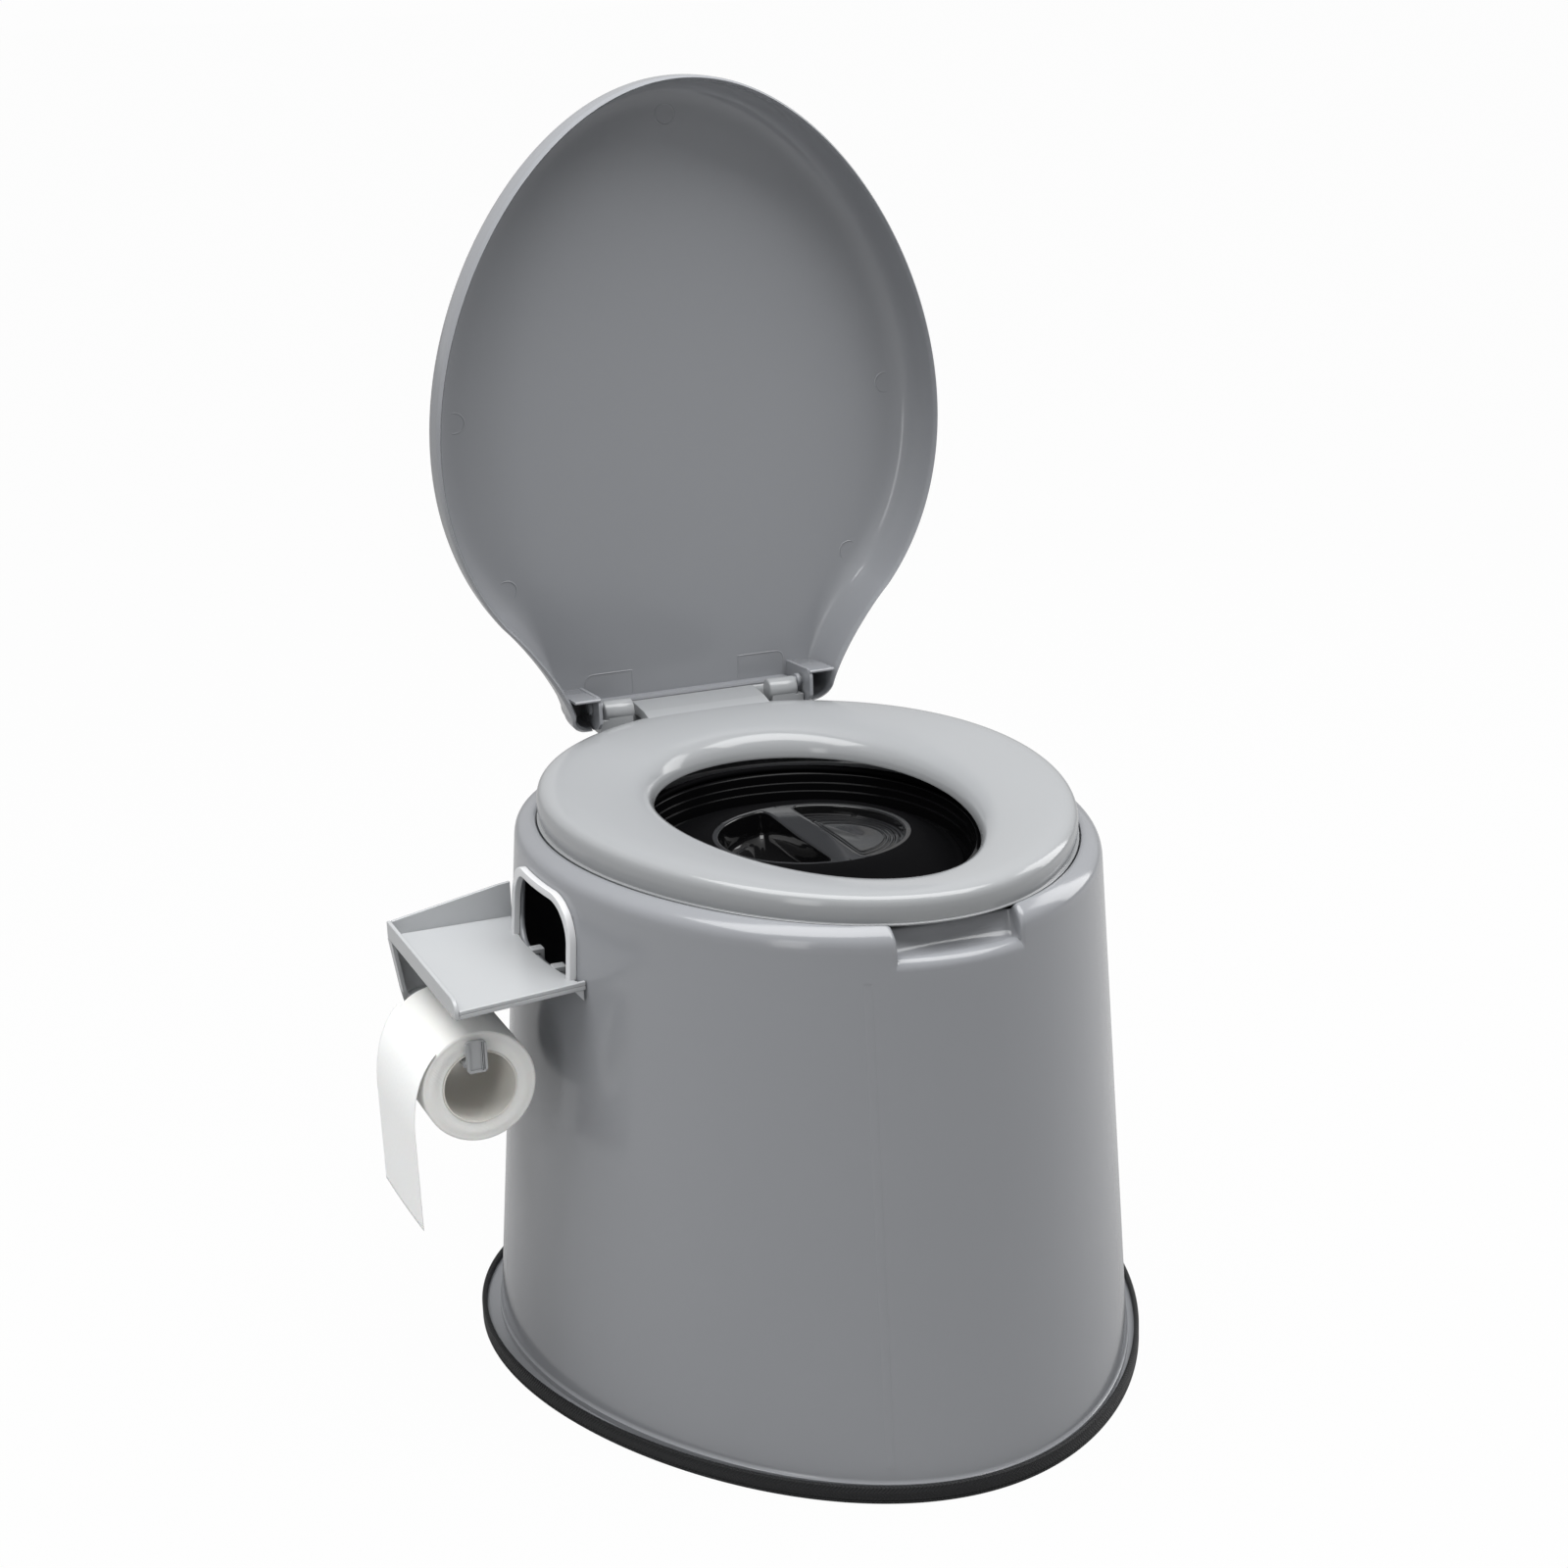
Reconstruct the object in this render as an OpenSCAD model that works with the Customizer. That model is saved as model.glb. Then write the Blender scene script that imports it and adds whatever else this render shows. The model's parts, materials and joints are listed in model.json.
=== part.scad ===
// Portable bucket toilet: tapered base shell, lift-off seat with hinged lid,
// removable inner bucket and a side holder for a phone and a paper roll.
// Millimetres, +Z up, front towards -Y, origin at the middle of the base on the floor.

/* [Base shell] */
// Half width of the rubber strip round the base
base_half_w = 204; // [195:1:212]
// Half length of the rubber strip round the base
base_half_l = 239.5; // [236:0.5:248]
// Height of the crest of the body's shoulder
shoulder_z = 336.5; // [335:0.5:338]
// Wall thickness of the moulded shell
wall_t = 2.8; // [2.4:0.1:3.2]
// Width of the finger notch at the front
notch_w = 73; // [66:1:78]

/* [Seat] */
// Half width of the seat ring
seat_half_w = 156; // [154:0.5:157]
// Half length of the seat ring
seat_half_l = 198; // [196:0.5:198.5]
// Height of the seat ring's crown
seat_top_z = 362; // [361:0.5:363]
// How much lower the seat's crown is at the front
seat_fall = 8; // [4:0.5:10]
// Half width of the seat opening
open_half_w = 85.5; // [80:0.5:88]
// Half length of the seat opening
open_half_l = 134.5; // [130:0.5:138]

/* [Lid and hinge] */
// Distance of the hinge axis behind the middle of the base
hinge_y = 182; // [181:0.5:184]
// Height of the hinge axis
hinge_z = 368.5; // [368:0.5:370]
// Angle that the lid is open from flat
lid_open_deg = 88.2; // [86:0.2:90]
// Half width of the lid's rim
lid_half_w = 168.5; // [167:0.5:170]
// Half length of the lid's rim
lid_half_l = 199; // [198.5:0.5:199.5]
// Radius of each hinge pin
pin_r = 3; // [2.5:0.1:3.2]

/* [Bucket] */
// Half width of the bucket lid's edge
blid_half_w = 88; // [85:0.5:90]
// Height of the bucket's floor above the ground
bucket_floor_z = 58; // [50:1:80]
// Radius of the round grip in the bucket lid
grip_r = 62; // [58:1:64]

/* [Side holder] */
// Length of the phone tray along the body
tray_l = 153; // [148:1:156]
// Height of the top of the tray's floor
tray_z = 274; // [272:0.5:275]
// Height of the paper roll's axis
roll_z = 219; // [216:1:220]
// Radius of the paper roll
roll_r = 33.5; // [30:0.5:35]
// Length of the paper roll
roll_l = 88; // [80:1:90]

/* [Hidden] */

segs = 72;            // points round every egg-shaped section
half_segs = segs / 2;
gap = 0.3;            // clearance between pieces of different bodies
grey = [0.53, 0.54, 0.56];
light_grey = [0.74, 0.74, 0.76];
black = [0.04, 0.04, 0.045];
paper_white = [0.95, 0.95, 0.93];

// An egg is [half width, half length, narrowing of the front, centre y].
flange_egg = [base_half_w - 2, base_half_l - 2, 0.16, 0];
wall_foot_egg = [base_half_w - 11.5, base_half_l - 7.5, 0.15, -3];
wall_head_egg = [base_half_w - 36, base_half_l - 20.5, 0.065, -3];
seat_egg = [seat_half_w, seat_half_l, 0.13, -14.5];
open_egg = [open_half_w, open_half_l, 0.15, -20.5];
ledge_egg = [seat_half_w - 1, seat_half_l - 1, 0.13, -14.5];
wall_foot_z = 14;
wall_head_z = shoulder_z + 4.5;  // where the line of the wall would reach its upper egg
wall_top_z = shoulder_z - 28;
ledge_z = shoulder_z - 3;        // shelf that carries the seat
rim_shelf_z = ledge_z - 7.2;     // shelf that carries the bucket's rim
seat_z = ledge_z + gap;

// ---------- egg outlines and lofts ----------

function mix(a, b, s) = a + (b - a) * s;
function egg_point(e, t) = [e[0] * sin(t) * (1 - e[2] * cos(t)), e[3] - e[1] * cos(t)];
function egg_outline(e) = [for (i = [0:segs - 1]) egg_point(e, i * 360 / segs)];
function grown(e, d) = [e[0] + d, e[1] + d, e[2], e[3]];
function at_height(outline, z) = [for (p = outline) [p[0], p[1], z]];
function egg_ring(e, z) = at_height(egg_outline(e), z);
function flat_list(rings) = [for (r = rings) each r];

// Triangles between ring j and the next, wound for a surface that faces outward.
function band(j, k, count = segs) = [for (i = [0:count - 1])
    let (a = j * count + i, b = j * count + (i + 1) % count,
         c = k * count + (i + 1) % count, d = k * count + i)
    each [[a, d, c], [a, c, b]]];

// A closed loop of rings: a shell that is open in the middle.
module loop_loft(rings) {
    n = len(rings);
    polyhedron(flat_list(rings), [for (j = [0:n - 1]) each band(j, (j + 1) % n, len(rings[0]))]);
}

// Rings closed by a fan at each end: a cup or a dish.
module cup_loft(rings, first_tip, last_tip) {
    n = len(rings);
    f = n * segs;
    polyhedron(concat(flat_list(rings), [first_tip, last_tip]), concat(
        [for (j = [0:n - 2]) each band(j, j + 1)],
        [for (i = [0:segs - 1]) [i, (i + 1) % segs, f]],
        [for (i = [0:segs - 1]) [(n - 1) * segs + (i + 1) % segs, (n - 1) * segs + i, f + 1]]));
}

// A flat ring between two egg outlines.
module egg_band(outer, inner, z0, z1) {
    translate([0, 0, z0]) linear_extrude(z1 - z0) difference() {
        polygon(egg_outline(outer));
        polygon(egg_outline(inner));
    }
}

// A rectangle with round corners, exact arcs.
module round_rect(x0, y0, x1, y1, r) {
    translate([x0 + r, y0]) square([x1 - x0 - 2 * r, y1 - y0]);
    translate([x0, y0 + r]) square([x1 - x0, y1 - y0 - 2 * r]);
    for (x = [x0 + r, x1 - r]) for (y = [y0 + r, y1 - r]) translate([x, y]) circle(r, $fn = 32);
}

// Lays an outline drawn as (y, z) along the X axis.
module along_x(x0, x1) {
    translate([x0, 0, 0]) rotate([90, 0, 90]) linear_extrude(x1 - x0) children();
}

// Lays an outline drawn as (x, z) along the Y axis.
module along_y(y0, y1) {
    translate([0, y1, 0]) rotate([90, 0, 0]) linear_extrude(y1 - y0) children();
}

// ---------- base shell ----------

function wall_egg(z) = mix(wall_foot_egg, wall_head_egg, (z - wall_foot_z) / (wall_head_z - wall_foot_z));
rim_well_egg = [blid_half_w + 24, blid_half_w + 52, 0.13, -14];
bucket_hole_egg = [blid_half_w + 15.5, blid_half_w + 43.5, 0.13, -14];

// Shoulder: [how far in from the wall to the seat's ledge, height below the crest].
shoulder_curve = [[0.03, 22], [0.1, 15], [0.22, 9], [0.4, 4.2], [0.6, 1.4], [0.78, 0.2], [0.9, 0],
    [0.97, 0.8], [1, 3]];
shoulder_inside = [[0.96, 5.8], [0.72, 3.4], [0.42, 7], [0.2, 12.8], [0.05, 21]];
function shoulder_ring(c, inset) = let (z = shoulder_z - c[1])
    egg_ring(mix(grown(wall_egg(z), -inset), ledge_egg, c[0]), z);
shoulder_rings = [for (c = shoulder_curve) shoulder_ring(c, 0)];

module shell_wall() {
    loop_loft(concat(
        [egg_ring(flange_egg, 3.5), egg_ring(flange_egg, 7),
         egg_ring(mix(flange_egg, wall_foot_egg, 0.9), 7.2),
         egg_ring(mix(flange_egg, wall_foot_egg, 0.97), 9)],
        [for (z = [wall_foot_z, 165, wall_top_z]) egg_ring(wall_egg(z), z)],
        shoulder_rings,
        [egg_ring(rim_well_egg, ledge_z), egg_ring(rim_well_egg, rim_shelf_z),
         egg_ring(bucket_hole_egg, rim_shelf_z), egg_ring(bucket_hole_egg, rim_shelf_z - 12),
         egg_ring(grown(bucket_hole_egg, 2.5), rim_shelf_z - 12),
         egg_ring(grown(bucket_hole_egg, 2.5), rim_shelf_z - 2.8),
         egg_ring(grown(rim_well_egg, 2.8), rim_shelf_z - 2.8),
         egg_ring(grown(rim_well_egg, 2.8), ledge_z - 2.8)],
        [for (c = shoulder_inside) shoulder_ring(c, wall_t)],
        [for (z = [wall_top_z, 165, wall_foot_z]) egg_ring(grown(wall_egg(z), -wall_t), z)],
        [egg_ring(grown(wall_egg(wall_foot_z), -wall_t), 3.5)]));
}

// The space that the outer surface encloses, up to the seat's ledge.
module outer_solid() {
    cup_loft(concat([for (z = [wall_foot_z, 165, wall_top_z]) egg_ring(wall_egg(z), z)], shoulder_rings),
        [0, 0, wall_foot_z], [0, 0, ledge_z]);
}

// Finger notch: floor and back wall as one bent sheet, with a cheek at each side.
notch_t = 2.5;
notch_sheet = [[-240, 312], [-216, 313], [-208, 317], [-202.5, 324], [-200.5, shoulder_z],
    [-198, shoulder_z], [-200, 323], [-206.5, 315], [-215, 310.4], [-240, 309.4]];
notch_cheek = [[-240, 311], [-240, shoulder_z], [-198, shoulder_z], [-200, 324], [-208, 315], [-216, 311]];

module notch_cutter() {
    along_x(-notch_w / 2, notch_w / 2) polygon([[-240, 311.5], [-215, 311.5], [-199, 320],
        [-199, shoulder_z + 4], [-240, shoulder_z + 4]]);
}

module notch_pan() {
    intersection() {
        outer_solid();
        union() {
            along_x(-notch_w / 2 - 0.5, notch_w / 2 + 0.5) polygon(notch_sheet);
            for (side = [-1, 1]) translate([side * (notch_w / 2 + notch_t / 2), 0, 0])
                along_x(-notch_t / 2, notch_t / 2) polygon(notch_cheek);
        }
    }
}

module body_shell() color(grey) {
    difference() {
        shell_wall();
        notch_cutter();
        along_x(-230, -120) round_rect(frame_hole[0] - 1, hand_hole_z, frame_hole[2] + 1,
            frame_hole[3] + 1, 14);
    }
    notch_pan();
}

// Rubber U-strip pushed onto the flange.
module base_edge_strip() color(black) {
    egg_band(grown(flange_egg, 2), grown(flange_egg, -7), 0, 3.5);
    egg_band(grown(flange_egg, 2), flange_egg, 3.5, 7);
    egg_band(grown(flange_egg, 2), grown(flange_egg, -2), 7, 10.5);
}

// ---------- seat ----------

// Seat section: [how far in from the outer edge to the opening, share of the crown's height].
seat_outside = [[0.028, 0], [0.014, 0.11], [0.002, 0.3], [0, 0.5], [0.02, 0.7], [0.07, 0.86],
    [0.16, 0.955], [0.3, 1], [0.5, 0.94], [0.7, 0.8], [0.84, 0.62], [0.93, 0.44], [0.985, 0.28],
    [1, 0.12], [1, 0]];
seat_inside = [[0.958, 0], [0.955, 0.1], [0.9, 0.35], [0.82, 0.51], [0.7, 0.68], [0.5, 0.825],
    [0.3, 0.885], [0.16, 0.835], [0.085, 0.69], [0.045, 0.48], [0.06, 0]];

// Ring of the seat: its crown falls evenly from the back to the front.
function seat_ring_at(c) = let (outline = egg_outline(mix(seat_egg, open_egg, c[0])))
    [for (i = [0:segs - 1]) let (crown = seat_top_z - seat_fall * (1 + cos(i * 360 / segs)) / 2)
        [outline[i][0], outline[i][1], seat_z + c[1] * (crown - seat_z)]];

module seat_ring() color(grey) loop_loft([for (c = concat(seat_outside, seat_inside)) seat_ring_at(c)]);

block_half_w = 45;
barrel_in = 47;
barrel_out = 66;
barrel_r = 6;

module seat_hinge_block() color(grey) {
    difference() {
        union() {
            along_x(-block_half_w, block_half_w) polygon([[172, 357], [hinge_y + 15, 359],
                [hinge_y + 15, 365], [hinge_y + 13, 366], [170, 364], [160, 361], [160, 357]]);
            for (side = [-1, 1]) {
                translate([side * (barrel_in + barrel_out) / 2, hinge_y, hinge_z]) rotate([0, 90, 0])
                    cylinder(r = barrel_r, h = barrel_out - barrel_in, center = true, $fn = 48);
                translate([side * (barrel_in + barrel_out) / 2, 0, 0])
                    along_x(-7.5, 7.5) polygon([[158, 352], [hinge_y - 4, 356],
                        [hinge_y + 4, hinge_z - 4], [hinge_y - 2, hinge_z + 5], [164, 362], [158, 360]]);
            }
            along_x(-barrel_in - 4, barrel_in + 4) polygon([[164, 353], [172, 353], [176, 358], [164, 358]]);
        }
        translate([0, hinge_y, hinge_z]) rotate([0, 90, 0])
            cylinder(r = pin_r + 0.08, h = 2 * barrel_out + 2, center = true, $fn = 48);
    }
}

// Hinge pin with a round head outside the lid's ear and a collar beside the barrel.
ear_in = 72;
ear_t = 2.2;

module hinge_pin(side) color(grey) {
    translate([0, hinge_y, hinge_z]) rotate([0, side * 90, 0]) {
        translate([0, 0, barrel_in + 1]) cylinder(r = pin_r, h = ear_in + ear_t + 3 - barrel_in - 1, $fn = 48);
        translate([0, 0, barrel_out + 1]) cylinder(r = pin_r + 2.2, h = 3, $fn = 48);
        translate([0, 0, ear_in + ear_t]) cylinder(r = pin_r + 2, h = 2.5, $fn = 48);
    }
}

module hinge_pin_left() hinge_pin(-1);
module hinge_pin_right() hinge_pin(1);

// ---------- lid: built flat, hinge axis at the origin, front towards -Y ----------

lid_reach = 199;     // hinge axis to the middle of the rim's egg
lid_rim_n = -14.4;   // rim plane below the hinge axis
lid_panel_n = 25.2;  // inner face of the panel above the hinge axis
lid_t = 2.6;
neck_deg = 134;      // where the egg turns into the neck
neck_half_w = 86;    // half width at the very back
neck_back = 12;      // how far the neck runs behind the hinge axis
lip_depth = 6;       // depth of the lip along the panel's back edge
egg_steps = 26;      // points of each half outline on the egg
neck_steps = 7;      // and on the neck; the rest lie on the back edge

// Point i of one half outline, from 0 at the front tip to half_segs at the middle of
// the back edge, drawn inset by d with the back edge at y = back.
function rim_egg(d) = [lid_half_w - d, lid_half_l - d, 0.13, -lid_reach];
function corner_x(d) = neck_half_w - min(d, lid_t) - 0.15 * max(d - lid_t, 0);
function bezier(a, b, c, e, s) = pow(1 - s, 3) * a + 3 * pow(1 - s, 2) * s * b
    + 3 * (1 - s) * s * s * c + pow(s, 3) * e;
function lid_half(i, d, back) = i <= egg_steps ? egg_point(rim_egg(d), neck_deg * i / egg_steps)
    : i <= egg_steps + neck_steps ? let (p = egg_point(rim_egg(d), neck_deg))
        bezier(p, p + [-14, 14.4], [corner_x(d) + 8, -14], [corner_x(d), back], (i - egg_steps) / neck_steps)
    : i == half_segs - 2 ? [corner_x(d) - 4, back]
    : i == half_segs - 1 ? [corner_x(d) / 2, back] : [0, back];
function lid_outline(d, back) = [for (i = [0:segs - 1])
    i <= half_segs ? lid_half(i, d, back) : let (p = lid_half(segs - i, d, back)) [-p[0], p[1]]];

// Skirt curve: a quarter of a superellipse from the rim up to the flat panel.
skirt_in = 28;
skirt_power = 3.6;
skirt_depth = lid_panel_n - lid_rim_n;
function skirt_rise(q) = pow(sin(q), 2 / skirt_power);
function skirt_inset(q) = 1 - pow(cos(q), 2 / skirt_power);
skirt_steps = [0, 12, 26, 40, 54, 66, 76, 84, 90];
panel_steps = [0.12, 0.4, 0.7, 0.9];  // rings on the panel, as shares of the way to its middle
panel_dome = 1.5;

// Ring of the skirt: q along the curve, t = 0 on the inner face and lid_t on the outer one.
function skirt_ring(q, t) = let (inset = mix(lid_t - t, skirt_in, skirt_inset(q)),
    outline = lid_outline(inset, neck_back - lid_t + t))
    [for (i = [0:segs - 1]) let (on_back = abs(i - half_segs) <= half_segs - egg_steps - neck_steps - 1,
        depth = (on_back ? lip_depth : skirt_depth) + t)
        [outline[i][0], outline[i][1], lid_panel_n + t - depth * (1 - skirt_rise(q))]];
panel_middle = [0, 10 - lid_reach];
function panel_ring(s, t) = at_height(
    [for (p = lid_outline(skirt_in, neck_back - lid_t + t)) mix(p, panel_middle, s)],
    lid_panel_n + t + panel_dome * (1 - pow(1 - s, 2)));

module lid_flat_shell() {
    tip = [0, panel_middle[1], lid_panel_n + panel_dome];
    cup_loft(concat([for (i = [len(panel_steps) - 1:-1:0]) panel_ring(panel_steps[i], 0)],
        [for (i = [len(skirt_steps) - 1:-1:0]) skirt_ring(skirt_steps[i], 0)],
        [for (q = skirt_steps) skirt_ring(q, lid_t)],
        [for (s = panel_steps) panel_ring(s, lid_t)]), tip, tip + [0, 0, lid_t]);
}

module place_lid() {
    translate([0, hinge_y, hinge_z]) rotate([-lid_open_deg, 0, 0]) children();
}

module lid_shell() color(grey) place_lid() lid_flat_shell();

// Ear: the web that carries the pin, with a shelf from the web out to the skirt.
module lid_ear(side) color(grey) place_lid() difference() {
    union() {
        translate([side * (ear_in + ear_t / 2), 0, 0]) along_x(-ear_t / 2, ear_t / 2)
            polygon(concat([[neck_back, lid_panel_n + 1], [-8, lid_panel_n + 1], [-8, -4]],
                [for (a = [180:15:270]) [-3 + 5 * cos(a), -8 + 5 * sin(a)]],
                [for (a = [270:15:360]) [6 + 6 * cos(a), -7 + 6 * sin(a)]]));
        translate([side * (ear_in + 10), -7, (lid_panel_n - 11) / 2])
            cube([20, 2.2, lid_panel_n + 11], center = true);
    }
    rotate([0, 90, 0]) cylinder(r = pin_r, h = 300, center = true, $fn = 48);
}

module lid_ear_left() lid_ear(-1);
module lid_ear_right() lid_ear(1);

// ---------- bucket ----------

bucket_k = 0.13;
bucket_y = -14;
function bucket_egg(w) = [w, w + 28, bucket_k, bucket_y];
blid_seat_z = ledge_z - 23.5;        // ledge that carries the bucket's lid
bucket_rim_z = rim_shelf_z + gap;
bucket_t = 2.2;
// Steps of the bucket's mouth: [half width of the inner face, height above the lid's ledge].
mouth_steps = [[1.2, 0], [1.6, 4.5], [4.2, 6], [4.5, 9], [7.2, 10.5], [7.5, 13.5], [10, 15]];

module bucket() color(black) {
    foot = blid_half_w - 26;
    cup_loft(concat(
        [egg_ring(bucket_egg(foot), bucket_floor_z), egg_ring(bucket_egg(foot + 4.5), bucket_floor_z + 2),
         egg_ring(bucket_egg(foot + 6.5), bucket_floor_z + 8),
         egg_ring(bucket_egg(blid_half_w - 2), blid_seat_z - 4)],
        [for (s = mouth_steps) egg_ring(bucket_egg(blid_half_w + s[0] + bucket_t), blid_seat_z - 2 + s[1])],
        [egg_ring(bucket_egg(blid_half_w + 12.2), bucket_rim_z),
         egg_ring(bucket_egg(blid_half_w + 21), bucket_rim_z),
         egg_ring(bucket_egg(blid_half_w + 21.5), bucket_rim_z + 1.2),
         egg_ring(bucket_egg(blid_half_w + 21), bucket_rim_z + 2.4),
         egg_ring(bucket_egg(blid_half_w + 11.5), bucket_rim_z + 2.4)],
        [for (i = [len(mouth_steps) - 1:-1:0]) let (s = mouth_steps[i])
            egg_ring(bucket_egg(blid_half_w + s[0]), blid_seat_z + s[1])],
        [egg_ring(bucket_egg(blid_half_w - 4), blid_seat_z),
         egg_ring(bucket_egg(blid_half_w - 4.4), blid_seat_z - 4),
         egg_ring(bucket_egg(foot + 4.2), bucket_floor_z + 9),
         egg_ring(bucket_egg(foot + 1), bucket_floor_z + 3)]),
        [0, bucket_y, bucket_floor_z], [0, bucket_y, bucket_floor_z + 3]);
}

// Lugs moulded on the rim that the bail clips into.
bail_x = blid_half_w + 16;
bail_z = bucket_rim_z + 2.4 + 2.3;
bail_r = 2;

module bucket_lug(side) color(black) {
    translate([side * (bail_x - 5.2), bucket_y, 0]) difference() {
        translate([-1.2, -4, bucket_rim_z + 2.4]) cube([2.4, 8, 4.6]);
        translate([0, 0, bail_z]) rotate([0, 90, 0]) cylinder(r = bail_r + 0.08, h = 6, center = true, $fn = 32);
    }
}

module bucket_lug_left() bucket_lug(-1);
module bucket_lug_right() bucket_lug(1);

// Bail: a wire loop that lies on the rear half of the rim.
bail_reach = 128;
bail_steps = 20;
function bail_point(a) = [bail_x * cos(a), bucket_y + bail_reach * sin(a), bail_z];

module bucket_bail() color(black) {
    for (side = [-1, 1]) translate([side * bail_x, bucket_y, bail_z]) {
        sphere(r = bail_r, $fn = 24);
        rotate([0, -side * 90, 0]) cylinder(r = bail_r, h = 6.4, $fn = 32);
    }
    polyhedron([for (j = [0:bail_steps]) let (a = 180 * j / bail_steps, p = bail_point(a),
            d = [bail_reach * cos(a), bail_x * sin(a)], m = d / norm(d))
            for (b = [0:45:315]) p + bail_r * (cos(b) * [m[0], m[1], 0] + sin(b) * [0, 0, 1])],
        concat([for (j = [0:bail_steps - 1]) for (b = [0:7]) let (q = (b + 1) % 8)
            each [[j * 8 + b, j * 8 + q, j * 8 + 8 + q], [j * 8 + b, j * 8 + 8 + q, j * 8 + 8 + b]]],
        [[for (b = [7:-1:0]) b], [for (b = [0:7]) bail_steps * 8 + b]]));
}

// Bucket lid: a domed rim round a round well with a grip bar across it.
blid_egg = bucket_egg(blid_half_w);
grip_y = -8;
grip_egg = [grip_r, grip_r, 0, grip_y];
blid_z = blid_seat_z + gap;
blid_rise = 15;
bar_half_w = 8.5;
well_depth = 24;
blid_outside = [[0, 0], [0, 2.4], [0.1, 3], [0.3, 6.5], [0.55, 11], [0.8, 14.4], [1, blid_rise]];
blid_inside = [[1, blid_rise - 2.4], [0.8, 12], [0.55, 8.6], [0.3, 4], [0.12, 0.6], [0.08, 0]];

module bucket_lid() color(black) {
    loop_loft([for (c = concat(blid_outside, blid_inside))
        egg_ring(mix(blid_egg, grip_egg, c[0]), blid_z + c[1])]);
    translate([0, grip_y, blid_z + blid_rise]) difference() {
        translate([0, 0, -well_depth - 2.4]) cylinder(r = grip_r + 0.6, h = well_depth + 2.4, $fn = segs);
        for (side = [-1, 1]) intersection() {
            translate([0, 0, -well_depth]) cylinder(r = grip_r - 2, h = well_depth + 1, $fn = segs);
            translate([side * (bar_half_w + 50), 0, 0]) cube([100, 200, 200], center = true);
        }
        translate([-bar_half_w + 2.4, -grip_r + 6, -well_depth - 3])
            cube([2 * bar_half_w - 4.8, 2 * grip_r - 12, well_depth]);
    }
}

// ---------- side holder ----------

// Distance of the body's wall from the middle plane, at a place y and a height z.
function wall_x(y, z) = let (e = wall_egg(z), c = (e[3] - y) / e[1])
    e[0] * sqrt(1 - c * c) * (1 - e[2] * c);

// Outline of the bezel's hole on the wall: [front y, bottom z, back y, top z, corner radius].
frame_hole = [-43, 230, 31, 309, 18];
frame_w = 10;
frame_t = 4.2;
holder_t = 2.6;
hand_hole_z = tray_z - holder_t - gap;  // lower edge of the opening in the body's wall
function corner_arc(y, z, r, a0) = [for (a = [a0:15:a0 + 90]) [y + r * cos(a), z + r * sin(a)]];
function between(a, b, n) = [for (j = [1:n]) mix(a, b, j / (n + 1))];
function round_outline(o, d) = let (r = o[4] + d, y0 = o[0] - d, z0 = o[1] - d, y1 = o[2] + d, z1 = o[3] + d)
    concat(corner_arc(y1 - r, z0 + r, r, -90), corner_arc(y1 - r, z1 - r, r, 0),
        between([y1 - r, z1], [y0 + r, z1], 3), corner_arc(y0 + r, z1 - r, r, 90),
        corner_arc(y0 + r, z0 + r, r, 180), between([y0 + r, z0], [y1 - r, z0], 3));
function on_wall(outline, out) = [for (p = outline) [-wall_x(p[0], p[1]) - out, p[0], p[1]]];
frame_edge = [frame_hole[0] - frame_w, frame_hole[1] - frame_w, frame_hole[2] + 1.8 * frame_w,
    frame_hole[3] + frame_w - 2, frame_hole[4] + 10];

// Arched bezel that follows the curved wall round the opening and stands on the tray.
module holder_back_frame() color(light_grey) difference() {
    loop_loft([on_wall(round_outline(frame_hole, 0), frame_t - 1),
        on_wall(round_outline(frame_hole, 1.2), frame_t),
        on_wall(round_outline(frame_edge, -1.2), frame_t),
        on_wall(round_outline(frame_edge, 0), frame_t - 1),
        on_wall(round_outline(frame_edge, 0), gap),
        on_wall(round_outline(frame_hole, 0), gap)]);
    translate([-250, -100, 0]) cube([200, 200, tray_z]);
}

// Hooks that run in from the tray and hang over the lower edge of the body's opening.
hook_t = 3;
hook_drop = 12;

module holder_hooks() color(light_grey) {
    z = tray_z - holder_t;
    for (y = [-27, 8]) {
        wall = -wall_x(y + 4, z);
        inside = wall + wall_t + 1;
        along_y(y, y + 8) polygon([[wall - 1, z], [inside, z], [inside, z - hook_drop],
            [inside + hook_t, z - hook_drop], [inside + hook_t, z + hook_t], [wall - 1, z + hook_t]]);
    }
}

tray_out_x = -245;    // outer face of the tray's long wall
tray_front_y = -75;
tray_back_y = tray_front_y + tray_l;
tray_rim_z = tray_z + 8.5;
tray_steps = 16;
tray_slant = 13;      // how much further back the front lip ends beside the body
gusset = 7;           // size of the stiffening ribs under the tray
function tray_edge(y, z) = [-wall_x(y, z) - 1, y];

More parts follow.
